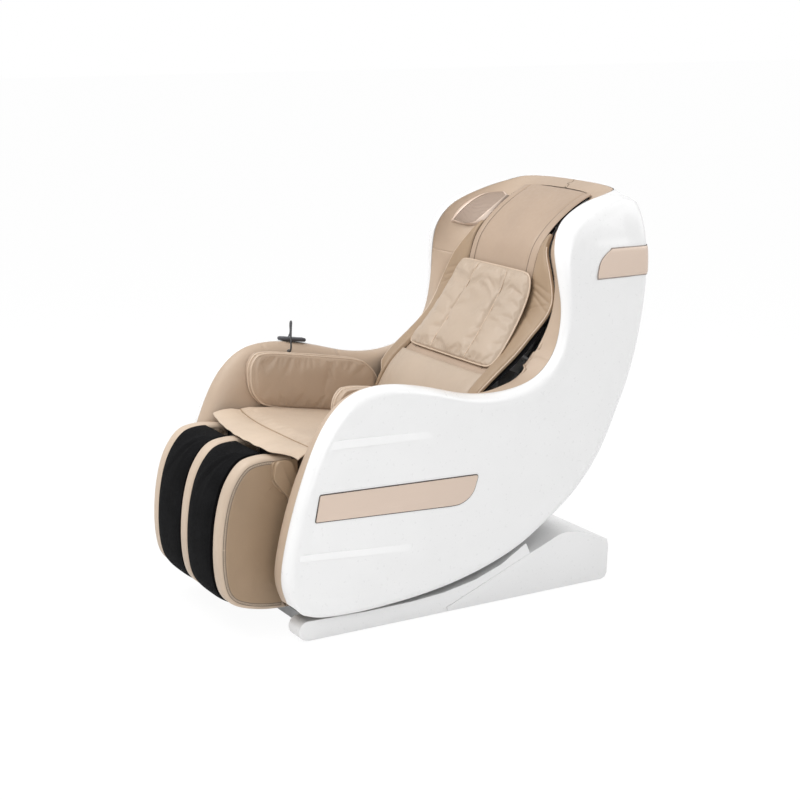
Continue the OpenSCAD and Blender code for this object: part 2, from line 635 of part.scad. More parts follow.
module massage_roller(side, level) {
    color("#2a2a2c") at_carriage()
        translate([side > 0 ? roller_x : -roller_x - roller_w, roller_y, level * roller_z])
            rotate([0, 90, 0]) rotate_extrude() {
                difference() {
                    union() {
                        translate([4 + run_gap, 0]) square([massage_r - 10, roller_w]);
                        translate([massage_r - 8, roller_w / 2]) circle(r = roller_w / 2);
                    }
                    translate([-20, -1]) square([24 + run_gap, roller_w + 2]);
                }
            }
}
module roller_upper_left() { massage_roller(1, 1); }
module roller_lower_left() { massage_roller(1, -1); }
module roller_upper_right() { massage_roller(-1, 1); }
module roller_lower_right() { massage_roller(-1, -1); }

// ---- leg rest ------------------------------------------------------------------

LEG = [
    [-402, 452], [-445, 460], [-490, 462], [-538, 449], [-580, 392], [-603, 310],
    [-611, 220], [-606, 150], [-590, 106], [-552, 78], [-480, 60], [-408, 56]];
function leg_outline(grow, n = 30) =
    let(P = [for (i = [0:n]) let(p = spline(LEG, i / n), c = [-400, 250], d = p - c)
        c + d * (1 + grow / norm(d))])
    concat([[-400, P[0][1]]], P, [[-400, P[n][1]]]);
leg_pad_front = 9;
// Padded wall: the outline's middle stands proud of its two rounded edges.
module calf_wall(x0, x1, top_grow = 0) {
    steps = [[0, -9], [0.06, -4], [0.2, 0], [0.8, 0], [0.94, -4], [1, -9]];
    n = 26;
    rings = [for (s = steps) [for (p = leg_outline(s[1] + top_grow, n)) [mix(x0, x1, s[0]), p[0], p[1]]]];
    m = len(rings[0]);
    points = [for (r = rings) each r];
    walls = [for (i = [0:len(steps) - 2], j = [0:m - 1], t = [0, 1])
        let(k = (j + 1) % m, a = i * m + j, b = i * m + k)
        t == 0 ? [a, b, a + m] : [b, b + m, a + m]];
    ends = [[for (j = [m - 1:-1:0]) j], [for (j = [0:m - 1]) (len(steps) - 1) * m + j]];
    polyhedron(points, concat(walls, ends), convexity = 4);
}
module calf_wall_left() { color(BEIGE) calf_wall(leg_half_w - leg_wall_w, leg_half_w); }
module calf_wall_right() { color(BEIGE) calf_wall(-leg_half_w, leg_wall_w - leg_half_w); }
module calf_wall_center() { color(BEIGE) calf_wall(-25, 25, 4); }
module calf_pad(x0, x1) {
    color(BLACK)
        skin(function(u, v) let(p = spline(LEG, mix(0.14, 0.9, u))) [mix(x0, x1, v), p[0], p[1]],
             function(u, v) (leg_pad_front + 1) * pow(sin(180 * u), 0.5) * (1 - 0.5 * pow(abs(2 * v - 1), 3)) - 1,
             function(u, v) -26, 22, 6);
}
pad_gap = 0.4;
module calf_pad_left() { calf_pad(25 + pad_gap, leg_half_w - leg_wall_w - pad_gap); }
module calf_pad_right() { calf_pad(leg_wall_w - leg_half_w + pad_gap, -25 - pad_gap); }
module legrest_shell() {
    color(BLACK) {
        translate([-leg_half_w + 3, -399.7, 60]) cube([2 * leg_half_w - 6, 5, 386]);
        for (s = [-1, 1]) difference() {
            plate(s > 0 ? leg_half_w + 0.3 : -leg_half_w - 3.3, s > 0 ? leg_half_w + 3.3 : -leg_half_w - 0.3,
                  [[-394.7, 330], [-394.7, 446], [-460, 446], [-460, 400]]);
        }
        both_sides() x_rod(leg_half_w + 3.3, 233, leg_pivot_y, leg_pivot_z, leg_pin_r);
    }
}

// ---- drives --------------------------------------------------------------------

// Linear drive that lies from p to q in the Y-Z plane, at x = 0.
module along(p, q) {
    d = q - p;
    translate([0, p[0], p[1]]) rotate([atan2(d[1], d[0]) - 90, 0, 0]) children();
}
module drive_body(p, q, tube_r, tube_l, motor_r) {
    along(p, q) difference() {
        union() {
            rotate([0, 90, 0]) translate([0, 0, -8]) cylinder(h = 16, r = 12);
            translate([-8, -tube_r * 0.6, 4]) cube([16, tube_r * 1.2, 20]);
            translate([0, 0, 20]) cylinder(h = tube_l - 20, r = tube_r);
            translate([0, -14, 22]) cube([tube_r + motor_r + 3, 28, 26]);
            translate([tube_r + motor_r + 3, 0, 22]) cylinder(h = 120, r = motor_r);
        }
        rotate([0, 90, 0]) translate([0, 0, -9]) cylinder(h = 18, r = pin_r + run_gap);
        translate([0, 0, 30]) cylinder(h = tube_l, r = 9 + run_gap);
    }
}
// Its rod ends in a cross cylinder, bored as an eye or left whole as a push roller.
module drive_rod(p, q, reach_in, end_r, bore_r) {
    l = norm(q - p);
    along(p, q) difference() {
        union() {
            translate([0, 0, reach_in]) cylinder(h = l - reach_in - 6, r = 9);
            translate([0, 0, l]) rotate([0, 90, 0]) translate([0, 0, -7]) cylinder(h = 14, r = end_r);
        }
        if (bore_r > 0) translate([0, 0, l]) rotate([0, 90, 0]) translate([0, 0, -8])
            cylinder(h = 16, r = bore_r);
    }
}
recline_foot = [230, 70];
module recline_motor() { color(BLACK) drive_body(recline_foot, recline_eye, 20, 250, 22); }
module recline_rod() { color(STEEL) drive_rod(recline_foot, recline_eye, 90, 13, 8); }
module legrest_motor() { color(BLACK) drive_body(legrest_motor_eye, legrest_roller, 15, 200, 19); }
module legrest_rod() { color(STEEL) drive_rod(legrest_motor_eye, legrest_roller, 80, push_r, 0); }

// ---- base ------------------------------------------------------------------------

track_angle = 14;
track_r = rocker_r + rocker_t + roller_r + 0.3;
tube_z = foot_h;
tube_x = 275;
fold_t = 3;
function track_pos(s) = rocker_pos(s * track_angle, track_r);
module base_frame() {
    top = tube_z + tube_h;
    color(STEEL) {
        both_sides() {
            // rails and cross members are folded channels
            difference() {
                translate([tube_x, -436, tube_z]) cube([40, 930, tube_h]);
                translate([tube_x + fold_t, -437, tube_z + fold_t]) cube([40, 932, tube_h - 2 * fold_t]);
            }
            for (s = [-1, 1]) let(p = track_pos(s)) {
                for (x = [178, 216]) difference() {
                    plate(x, x + 6, [[p[0] - 30, top + weld], [p[0] - 12, p[1] + 4], [p[0] - 7, p[1] + 10],
                        [p[0] + 7, p[1] + 10], [p[0] + 12, p[1] + 4], [p[0] + 30, top + weld]]);
                    x_rod(x - 1, x + 7, p[0], p[1], pin_r + run_gap);
                }
            }
            // stub axle of the transport wheel
            x_rod(236, tube_x - weld, wheel_pos[0], wheel_pos[1], 4);
        }
        for (y = [-390, -158, 122, 216, 400])
            difference() {
                translate([weld - tube_x, y, tube_z]) cube([2 * (tube_x - weld), 36, tube_h]);
                translate([-tube_x, y + fold_t, tube_z - 1]) cube([2 * tube_x, 36 - 2 * fold_t, tube_h + 1 - fold_t]);
            }
        for (s = [-1, 1]) difference() {
            plate(s > 0 ? 9 : -13, s > 0 ? 13 : -9, [[214, top + weld], [214, 78], [222, 86], [238, 86], [246, 78], [246, top + weld]]);
            x_rod(-14, 14, recline_foot[0], recline_foot[1], pin_r + run_gap);
        }
        x_rod(-13, 13, recline_foot[0], recline_foot[1], pin_r);
    }
}
wheel_pos = [474, wheel_r + 2];
module transport_wheel() {
    color("#303032") translate([238, wheel_pos[0], wheel_pos[1]]) rotate([0, 90, 0])
        rotate_extrude() difference() {
            translate([4 + run_gap, 0]) square([wheel_r - 4 - run_gap, 20]);
            translate([wheel_r, 10]) circle(r = 2.5);
        }
}
module transport_wheel_left() { transport_wheel(); }
module transport_wheel_right() { mirror([1, 0, 0]) transport_wheel(); }
module track_roller(s) {
    p = track_pos(s);
    color("#303032") both_sides() {
        x_rod(176, 224, p[0], p[1], pin_r);
        x_rod(186, 214, p[0], p[1], roller_r);
    }
}
module track_roller_front() { track_roller(-1); }
module track_roller_rear() { track_roller(1); }

cover_z = 3;
RAIL_TOP = [[253, 120], [239, 150], [160, 104], [80, 76], [-20, 58], [-120, 51], [-260, 50],
            [-420, 55]];
// The covers rest on the side tubes with ribs and are open below.
cover_ribs = [-400, -290, -180, -70, 60, 150, 236];
module cover_hollow(inner) {
    difference() {
        plate(base_half_w - rail_w + cover_wall, base_half_w - cover_wall, inner);
        for (y = cover_ribs) translate([0, y, tube_z + tube_h + seat_gap]) cube([400, cover_wall, 200]);
    }
    low = base_half_w - rail_w - 1;
    translate([low, -436 - seat_gap, -1])
        cube([tube_x + 40 + seat_gap - low, 930 + 2 * seat_gap, tube_z + tube_h + 1 + seat_gap]);
}
module base_rail_cover() {
    nose = [for (a = [90:18:270]) [-421 + 26 * cos(a), 29 + 26 * sin(a)]];
    difference() {
        plate(base_half_w - rail_w, base_half_w,
              concat([[-10, cover_z], [-12, 16], [10, 24]], RAIL_TOP, nose));
        cover_hollow([[-18, -1], [-18, 12], [4, 27], [232, 118], [226, 132], [152, 92], [76, 68],
            [-24, 52], [-120, 46], [-260, 45], [-418, 50], [-436, 44], [-440, 20], [-430, -1]]);
    }
}
module base_rail_covers() { color(WHITE) both_sides() base_rail_cover(); }

CHEEK = [[-8, cover_z], [-9.6, 15.4], [12, 23.4], [253.4, 119.4], [288, 132], [325, 147], [350, 157],
         [378, 160], [412, 154], [453, 140], [512, 117], [517, 100], [514, 20], [508, 8],
         [496, cover_z]];
rear_block_y = 264;
module base_rear_cover() {
    w = cover_wall;
    color(WHITE) difference() {
        union() {
            both_sides() plate(base_half_w - rail_w, base_half_w, CHEEK);
            intersection() {
                plate(-base_half_w + 1, base_half_w - 1, CHEEK);
                translate([-400, rear_block_y, -1]) cube([800, 400, 300]);
            }
        }
        intersection() {
            plate(-base_half_w + w, base_half_w - w,
                  [[rear_block_y + w, -1], [rear_block_y + w, 118], [325, 143], [352, 153], [378, 156],
                   [411, 150], [452, 136.5], [509, 114], [513.5, 99], [510.6, 21], [504, 10], [497, -1]]);
            translate([-400, rear_block_y + w, -2]) cube([800, 400, 300]);
        }
        both_sides() cover_hollow([[2, -1], [2, 16], [255, 115.5], [rear_block_y + w + 1, 119],
            [rear_block_y + w + 1, -1]]);
        translate([inlet_x - 42.3, 500, inlet_z - 20.3]) cube([84.6, 30, 40.6]);
    }
}
module base_floor_pan() {
    color(STEEL) translate([-252, 270, 5.5]) cube([504, 166, 2]);
}
FEET = [[295, -410], [295, 420], [-295, -410], [-295, 420]];
module foot_pads() {
    color("#222222") for (f = FEET) translate([f[0], f[1], 0]) cylinder(h = foot_h, r = foot_r);
}
module control_box() {
    color("#4a4d52") translate([-190, 274, 7.8]) {
        cube([130, 120, 52]);
        for (x = [6:12:118]) translate([x, 8, 52]) cube([4, 104, 12]);
    }
}
module air_pump() {
    color("#4a4d52") translate([20, 274, 7.8]) {
        cube([110, 96, 40]);
        translate([30, 48, 40]) cylinder(h = 26, r = 22);
        translate([80, 48, 40]) cylinder(h = 26, r = 22);
        for (x = [30, 80]) translate([x, 96, 26]) rotate([-90, 0, 0]) cylinder(h = 18, r = 5);
    }
}
inlet_x = 190;
inlet_z = 62;
switch_pos = [inlet_x - 22, 516, inlet_z];
module power_inlet() {
    color(BLACK) difference() {
        union() {
            translate([inlet_x - 42, 506, inlet_z - 20]) cube([84, 12, 40]);
            translate([inlet_x + 2, 484, inlet_z - 13]) cube([34, 22, 26]);
            translate([inlet_x - 36, 492, inlet_z - 15]) cube([28, 14, 30]);
        }
        translate([inlet_x + 7, 490, inlet_z - 8.5]) cube([24, 30, 17]);
        translate([switch_pos[0] - 10.4, 497, inlet_z - 12.4]) cube([20.8, 30, 24.8]);
    }
    color(STEEL) for (d = [-7, 0, 7])
        translate([inlet_x + 19 + d - 1, 489.5, inlet_z - (d == 0 ? 4 : 0) - 0.5]) cube([2, 16, 4]);
}
module power_switch() {
    color("#b03030") translate(switch_pos) rotate([-6, 0, 0])
        translate([-10, -6, -11.5]) cube([20, 8.5, 23]);
}

base_frame();
base_rail_covers();
base_rear_cover();
base_floor_pan();
foot_pads();
control_box();
air_pump();
power_inlet();
power_switch();
transport_wheel_left();
transport_wheel_right();
track_roller_front();
track_roller_rear();
recline_motor();
recline_rod();
shell_frame();
side_shell_left();
side_shell_right();
back_shell();
belly_pan();
side_trims();
hood_band();
arm_lining_left();
arm_lining_right();
hood_lining();
back_mesh();
seat_pan();
seat_pad();
seat_apron();
lumbar_pad();
back_curtain();
side_wings();
arm_pad_left();
arm_pad_right();
speaker_pods();
speaker_grilles();
guide_rails();
cord_grommet();
handset_cord();
handset();
power_button();
pause_button();
level_rocker();
carriage_frame();
drive_axle();
knead_arm_left();
knead_arm_right();
roller_upper_left();
roller_lower_left();
roller_upper_right();
roller_lower_right();
pillow();
legrest_shell();
calf_wall_left();
calf_wall_center();
calf_wall_right();
calf_pad_left();
calf_pad_right();
legrest_motor();
legrest_rod();
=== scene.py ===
"""Dress of a reclining massage chair: moulded tub, upholstery, leg rest, base and handset.

The frame's axes: the sitter's left is +X, the front faces -Y and Z is up. Shapes are worked
out in millimetres and put into their meshes in metres.
"""

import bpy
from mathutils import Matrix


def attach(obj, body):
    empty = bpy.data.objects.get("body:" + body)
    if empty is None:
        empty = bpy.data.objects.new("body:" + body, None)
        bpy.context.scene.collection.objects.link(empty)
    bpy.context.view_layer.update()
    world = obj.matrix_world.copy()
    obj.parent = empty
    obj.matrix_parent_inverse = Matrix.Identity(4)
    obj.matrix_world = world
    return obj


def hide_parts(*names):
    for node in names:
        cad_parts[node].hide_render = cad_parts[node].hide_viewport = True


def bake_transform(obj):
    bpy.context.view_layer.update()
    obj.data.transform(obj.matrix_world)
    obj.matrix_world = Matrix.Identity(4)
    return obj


bl_info = {
    "name": "Massage chair dress",
    "version": (1, 0, 0),
    "blender": (4, 5, 0),
    "location": "3D View > Sidebar > Chair",
    "description": "Makes the tub, upholstery, leg rest, base and handset of a massage chair",
    "category": "Add Mesh",
}

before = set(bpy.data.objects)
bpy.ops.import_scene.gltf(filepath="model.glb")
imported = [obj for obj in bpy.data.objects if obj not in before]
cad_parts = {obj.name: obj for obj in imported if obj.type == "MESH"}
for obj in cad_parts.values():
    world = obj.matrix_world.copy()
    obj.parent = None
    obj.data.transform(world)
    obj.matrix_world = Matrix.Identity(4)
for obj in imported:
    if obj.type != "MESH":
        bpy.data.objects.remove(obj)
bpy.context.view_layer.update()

import bmesh
import bpy
import numpy as np
from bpy.props import FloatProperty, FloatVectorProperty, PointerProperty
from mathutils import Vector

# ---- lines of the tub, in millimetres ----------------------------------------

# Rim of the tub from the foot of an arm up to the middle of the hood.
CREST = [
    [322, -478, 112], [322, -495, 175], [322, -476, 285], [322, -434, 420], [322, -376, 548],
    [321, -300, 621], [318, -200, 638], [315, -80, 619], [316, 40, 586], [320, 150, 579],
    [328, 250, 603], [332, 313, 670], [331, 334, 770], [316, 330, 862], [296, 332, 935],
    [268, 370, 999], [240, 460, 1041], [230, 545, 1061], [196, 600, 1073], [0, 616, 1078]]
# Lower and rear edge of a side, (y, z), point for point with the rim.
KEEL = [
    [-438, 78], [-390, 63], [-290, 58], [-190, 62], [-90, 71], [10, 88], [110, 115],
    [210, 156], [300, 214], [385, 280], [462, 375], [517, 490], [553, 575], [582, 675],
    [602, 790], [613, 890], [616, 985], [614, 1040], [611, 1060], [608, 1070]]
# Inner edge of the lining, point for point with the rim.
INNER = [
    [262, -428, 118], [262, -446, 178], [262, -425, 285], [262, -376, 400], [261, -314, 422],
    [260, -250, 426], [259, -170, 424], [259, -70, 416], [260, 40, 416], [272, 150, 540],
    [280, 222, 588], [281, 298, 676], [278, 350, 770], [242, 372, 852], [192, 394, 915],
    [168, 442, 970], [166, 506, 1016], [150, 552, 1042], [110, 568, 1053], [0, 570, 1056]]
# Middle line of the back, (y, z), from the seat to the hood's top.
COVER = [
    [66, 452], [92, 505], [130, 562], [185, 610], [252, 662], [315, 730], [350, 792],
    [364, 858], [387, 923], [443, 983], [507, 1027], [556, 1049]]
PILLOW = [[190, 616], [232, 658], [287, 730], [330, 800], [346, 852]]
SEAT = [[-362, 470], [-325, 472], [-240, 462], [-150, 448], [-60, 434], [20, 428], [60, 436]]
APRON = [[-364.2, 470], [-390, 477], [-427, 478], [-463, 474]]
LEG = [
    [-402, 452], [-445, 460], [-490, 462], [-538, 449], [-580, 392], [-603, 310],
    [-611, 220], [-606, 150], [-590, 106], [-552, 78], [-480, 60], [-408, 56]]
CORD = [
    [-277, -159.6, 612.1], [-270.6, -159.5, 615.9], [-267, -159.5, 626], [-269, -159, 645],
    [-274, -156, 662], [-284, -150, 677], [-298, -142, 686.5], [-314, -135, 688],
    [-330, -129, 681.5], [-340.5, -124.5, 670], [-345.9, -121.3, 656], [-344.9, -122.9, 646.3]]
HALF_WIDTH, RIM, DOME_Z, CROWN_Z = 358.0, 28.0, 650.0, 1100.0
# The rim's last point has this number; the sides and the arm linings end at these shares of it.
LAST = 19
SIDE_END, HOOD_SEAM = 17 / LAST, 13 / LAST
BAND_Z, BAND_TOP, BAND_FRONT = 857.0, 930.0, 440.0
# Half widths of the seat, of the lumbar pad and its seams, and of the curtain's seams.
SEAT_HALF, LUMBAR_HALF, LUMBAR_SEAM, CURTAIN_SEAM = 252, 208, 168, 128
# The leg rest's flat back (y), and the half distances (x) to its outer walls' two faces and to
# the middle wall's faces.
LEG_BACK, WALL_OUT, WALL_IN, MIDDLE_WALL = -400, 215, 167, 25
# Shares of the pillow's width at its two sewn lines.
PILLOW_SEAMS = (0.29, 0.71)


# ---- arithmetic of lines and lattices ----------------------------------------

def mix(a, b, t):
    """Share t of the way from a to b."""
    return a + (b - a) * t


def ease(t):
    """0 below 0, 1 above 1, and a smooth step 3t^2 - 2t^3 between."""
    t = np.clip(t, 0, 1)
    return t * t * (3 - 2 * t)


def unit(v):
    """Each vector divided by its length."""
    return v / np.maximum(np.linalg.norm(v, axis=-1, keepdims=True), 1e-9)


def place(x, y, z):
    """Arrays of x, y and z as one array of points."""
    return np.stack(np.broadcast_arrays(*(np.asarray(k, float) for k in (x, y, z))), -1)


def line(points, beyond=(), blur=0.22, per=40):
    """A smooth line through the given points, as a function of t from 0 to 1.

    Catmull-Rom pieces, 0.5(2b + (c-a)f + (2a-5b+4c-d)f^2 + (3b-a-3c+d)f^3), are sampled finely
    and then averaged under a narrow bell, so that the bend changes evenly. The points in beyond
    only shape the far end.
    """
    P = np.asarray(list(points) + list(beyond), float)
    last = len(points) - 1
    n = len(P) - 1
    s = np.linspace(0, n, n * per + 1)
    i = np.minimum(s.astype(int), n - 1)
    f = (s - i)[:, None]
    a, b, c, d = P[np.maximum(i - 1, 0)], P[i], P[i + 1], P[np.minimum(i + 2, n)]
    Q = 0.5 * (2 * b + (c - a) * f + (2 * a - 5 * b + 4 * c - d) * f ** 2
               + (3 * b - a - 3 * c + d) * f ** 3)
    if blur > 0:
        k = int(per * blur * 3)
        bell = np.exp(-0.5 * (np.arange(-k, k + 1) / (per * blur)) ** 2)
        bell /= bell.sum()
        wide = np.vstack([2 * Q[0] - Q[k:0:-1], Q, 2 * Q[-1] - Q[-2:-k - 2:-1]])
        Q = np.stack([np.convolve(wide[:, j], bell, "valid") for j in range(P.shape[1])], 1)
    Q = Q[:last * per + 1]
    steps = np.arange(len(Q))

    def at(t):
        s = np.clip(np.asarray(t, float), 0, 1) * (len(Q) - 1)
        return np.stack([np.interp(s, steps, Q[:, j]) for j in range(Q.shape[1])], -1)

    return at


crest = line(CREST, beyond=[[-196, 600, 1073], [-230, 545, 1061]])
inner = line(INNER, beyond=[[-110, 568, 1053], [-150, 552, 1042]])
keel, cover, pillow_line = line(KEEL), line(COVER), line(PILLOW)
seat_line, apron_line, leg_line = line(SEAT), line(APRON), line(LEG)
REAR_Y = keel(np.linspace(10 / LAST, 1, 400))


def lattice(nu, nv, u=None, v=None):
    """Two parameters on a grid, 0 to 1 each unless u or v gives its own values."""
    u = np.linspace(0, 1, nu + 1) if u is None else np.asarray(u, float)
    v = np.linspace(0, 1, nv + 1) if v is None else np.asarray(v, float)
    return np.meshgrid(u, v, indexing="ij")


def crown(u, v, k=4.0):
    """0 on the border of the unit square and 1 inside: sqrt(1-|2u-1|^k) sqrt(1-|2v-1|^k)."""
    return (np.sqrt(np.maximum(0, 1 - np.abs(2 * u - 1) ** k))
            * np.sqrt(np.maximum(0, 1 - np.abs(2 * v - 1) ** k)))


def groove(x, at, wide):
    """A bell of height 1 round x = at."""
    return np.exp(-((x - at) / wide) ** 2)


def ripple(x, y, seed, size, octaves=3):
    """Smooth uneven waves between about -1 and 1: sines in turned directions, summed."""
    turn = np.random.default_rng(seed)
    total, weight = 0.0, 0.0
    for k in range(octaves * 4):
        a, p, m = turn.uniform(0, np.pi), turn.uniform(0, 2 * np.pi), 1.7 ** (k // 4)
        total = total + np.sin((x * np.cos(a) + y * np.sin(a)) * 2 * np.pi * m / size + p) / m
        weight += 1 / m
    return total / weight * 1.8


def facing(grid, way):
    """Unit normals of a lattice: the cross product of its slopes, on the side that way points to."""
    normal = unit(np.cross(np.gradient(grid, axis=0), np.gradient(grid, axis=1)))
    return normal * np.sign(np.sum(normal * way, -1).mean())


def travelled(path):
    """Distance along a path up to each of its points, as a column."""
    return np.linalg.norm(np.gradient(path, axis=0), axis=1).cumsum()[:, None]


# ---- meshes ------------------------------------------------------------------

def rim_of(grid):
    """The border of a lattice, once round."""
    return np.concatenate([grid[:-1, 0], grid[-1, :-1], grid[:0:-1, -1], grid[0, :0:-1]])


def softened(ring):
    """A closed ring with each point drawn towards its neighbours, in shares of 1, 2 and 1."""
    return (np.roll(ring, 1, 0) + 2 * ring + np.roll(ring, -1, 0)) / 4


def outward(P):
    """Unit vectors square to a closed (y, z) outline, pointing away from its middle."""
    way = unit(np.roll(P, -1, 0) - np.roll(P, 1, 0))
    side = np.stack([way[:, 1], -way[:, 0]], 1)
    return side * np.sign(np.sum(side * (P - P.mean(0))))


def tube(rows, sides, close=False, caps=True):
    """Faces of a tube of rings, whose ends are capped unless its last ring meets its first."""
    idx = np.arange(rows * sides).reshape(rows, sides)
    near, far = (idx, np.roll(idx, -1, 0)) if close else (idx[:-1], idx[1:])
    faces = np.stack([near, far, np.roll(far, -1, 1), np.roll(near, -1, 1)], -1).reshape(-1, 4)
    ends = [idx[0].tolist(), idx[-1][::-1].tolist()]
    return faces.tolist() + (ends if caps and not close else [])


def cloth_map(u, v, wide, tall):
    """Map of a lattice laid flat, wide by tall in millimetres."""
    return np.stack([u * wide, v * tall], -1)


def closed(near, far, rings=3, swell=0.9, uv=None):
    """Points and faces of a body between two lattices, its border rounded by extra rings.

    Ring k stands at (near+far)/2 + (near-far)/2 cos(a) + out * swell * |near-far|/2 * sin(a),
    with a from 0 to pi, where out points from the lattice's inside over its border.
    """
    m, n = near.shape[:2]
    idx = np.arange(m * n).reshape(m, n)
    quads = np.stack([idx[:-1, :-1], idx[1:, :-1], idx[1:, 1:], idx[:-1, 1:]], -1).reshape(-1, 4)
    loop = rim_of(idx)
    N, F = near.reshape(-1, 3), far.reshape(-1, 3)
    i, j = np.divmod(loop, n)
    within = np.clip(i, 1, m - 2) * n + np.clip(j, 1, n - 2)
    out = unit((N[loop] + F[loop]) / 2 - (N[within] + F[within]) / 2)
    mid, half = (N[loop] + F[loop]) / 2, (N[loop] - F[loop]) / 2
    thick = np.linalg.norm(half, axis=1, keepdims=True)
    a = np.pi * np.arange(1, rings + 1) / (rings + 1)
    edge = [mid + half * np.cos(k) + out * thick * swell * np.sin(k) for k in a]
    points = np.vstack([N, F] + edge)
    belts = [loop] + [2 * m * n + k * len(loop) + np.arange(len(loop)) for k in range(rings)]
    belts.append(loop + m * n)
    faces = [quads, quads[:, ::-1] + m * n]
    for p, q in zip(belts[:-1], belts[1:]):
        faces.append(np.stack([p, q, np.roll(q, -1), np.roll(p, -1)], -1))
    faces = np.vstack(faces)
    if uv is None:
        return points, faces
    uv = uv.reshape(-1, 2)
    return points, faces, np.vstack([uv, uv] + [uv[loop]] * rings)


def rod(path, radius, sides=12, close=False):
    """A round bar along a path, its section turned square to the path, with domed ends.

    Section point k is path + radius (cos(k) a + sin(k) b), where a and b are square to the
    path's direction and a is its cross product with the path's flattest direction.
    """
    P = np.asarray(path, float)
    R = np.broadcast_to(np.asarray(radius, float), (len(P),)).copy()
    flat = np.linalg.svd(P - P.mean(0), full_matrices=False)[2][-1]
    if not close:
        d0, d1 = unit(P[0] - P[1]), unit(P[-1] - P[-2])
        a = np.array([0.35, 0.7, 0.93, 1.0])
        c = np.sqrt(np.maximum(1 - a ** 2, 0.0016))
        P = np.vstack([(P[0] + np.outer(a, d0) * R[0])[::-1], P, P[-1] + np.outer(a, d1) * R[-1]])
        R = np.concatenate([(c * R[0])[::-1], R, c * R[-1]])
        way = np.gradient(P, axis=0)
        way[:5], way[-5:] = -d0, d1
    else:
        way = np.roll(P, -1, 0) - np.roll(P, 1, 0)
    way = unit(way)
    a = unit(np.cross(way, flat))
    b = np.cross(way, a)
    g = 2 * np.pi * np.arange(sides) / sides
    points = (P[:, None] + R[:, None, None] * (np.cos(g)[None, :, None] * a[:, None]
                                             + np.sin(g)[None, :, None] * b[:, None]))
    return points.reshape(-1, 3), tube(len(P), sides, close)


def slab(outline, x0, x1, round_r=3.0, rings=4):
    """A board cut to a closed (y, z) outline, from x0 to x1, with rounded long edges.

    The edge rings move in from the outline by r(1-sin a) while x moves by r(1-cos a).
    """
    P = np.asarray(outline, float)
    side = outward(P)
    a = np.radians(np.linspace(0, 90, rings + 1))
    levels = ([(x0 + round_r * (1 - np.cos(k)), round_r * (1 - np.sin(k))) for k in a]
              + [(x1 - round_r * (1 - np.cos(k)), round_r * (1 - np.sin(k))) for k in a[::-1]])
    points = np.vstack([place(x, *(P - side * d).T) for x, d in levels])
    return points, tube(len(levels), len(P))


def outline(corners, radii, step=4.0):
    """A closed (y, z) outline: straight sides with each corner rounded by an arc.

    A corner is replaced by a quadratic curve from r short of it to r past it.
    """
    C = np.asarray(corners, float)
    n = len(C)
    runs = []
    for i in range(n):
        p, c, q = C[i - 1], C[i], C[(i + 1) % n]
        r = radii[i] if hasattr(radii, "__len__") else radii
        lp, lq = np.linalg.norm(p - c), np.linalg.norm(q - c)
        a, b = c + (p - c) * min(r / lp, 0.49), c + (q - c) * min(r / lq, 0.49)
        t = np.linspace(0, 1, 6 if r > 0.01 else 1)[:, None]
        runs.append(a * (1 - t) ** 2 + 2 * c * t * (1 - t) + b * t ** 2)
    P = np.vstack(runs)
    P = np.vstack([P, P[:1]])
    gap = np.linalg.norm(np.diff(P, axis=0), axis=1)
    s = np.concatenate([[0], np.cumsum(gap)])
    extra = np.arange(0, s[-1], step)
    k = np.unique(np.round(np.concatenate([s[:-1], extra]), 2))
    k = k[np.concatenate([[True], np.diff(k) > 0.35])]
    return np.stack([np.interp(k, s, P[:, 0]), np.interp(k, s, P[:, 1])], 1)


def even(path, pitch, close=False):
    """Points a fixed distance apart along a path."""
    P = np.asarray(path, float)
    if close:
        P = np.vstack([P, P[:1]])
    s = np.concatenate([[0], np.cumsum(np.linalg.norm(np.diff(P, axis=0), axis=1))])
    k = np.arange(pitch / 2, s[-1], pitch)
    return np.stack([np.interp(k, s, P[:, j]) for j in range(3)], 1), k, s


def stitches(path, up, pitch=5.0, length=3.4, radius=0.5, close=False):
    """A row of thread: one small six-sided bead per stitch, laid along the path.

    Every bead is the same template, turned by the path's direction and the surface's normal
    and set at even distances, as one product of arrays.
    """
    at, k, s = even(path, pitch, close)
    P = np.asarray(path, float)
    U = np.broadcast_to(np.asarray(up, float), P.shape)
    if close:
        P, U = np.vstack([P, P[:1]]), np.vstack([U, U[:1]])
    way = unit(np.stack([np.interp(k + 1, s, P[:, j]) - np.interp(k - 1, s, P[:, j])
                         for j in range(3)], 1))
    up = unit(np.stack([np.interp(k, s, U[:, j]) for j in range(3)], 1))
    wide = unit(np.cross(way, up))
    g = 2 * np.pi * np.arange(6) / 6
    rings = ((-0.5, 0.3), (-0.36, 1), (0.36, 1), (0.5, 0.3))
    bead = np.array([[l, r * np.cos(q), r * np.sin(q)] for l, r in rings for q in g])
    bead = bead * [length, radius, radius]
    points = (at[:, None] + bead[None, :, :1] * way[:, None] + bead[None, :, 1:2] * wide[:, None]
              + bead[None, :, 2:] * up[:, None])
    faces = [[v + len(bead) * i for v in face]
             for i in range(len(at)) for face in tube(len(rings), len(g))]
    return points.reshape(-1, 3), faces


def joined(*parts):
    """Several bodies as one list of points and faces."""
    points, faces, n = [], [], 0
    for p in parts:
        points.append(p[0])
        faces += [[int(v) + n for v in f] for f in p[1]]
        n += len(p[0])
    return np.vstack(points), faces


def mirrored(part, side=1):
    """The part itself on the sitter's left (1), or its mirror image on the right (-1)."""
    return (part[0] * [side, 1, 1],) + tuple(part[1:])


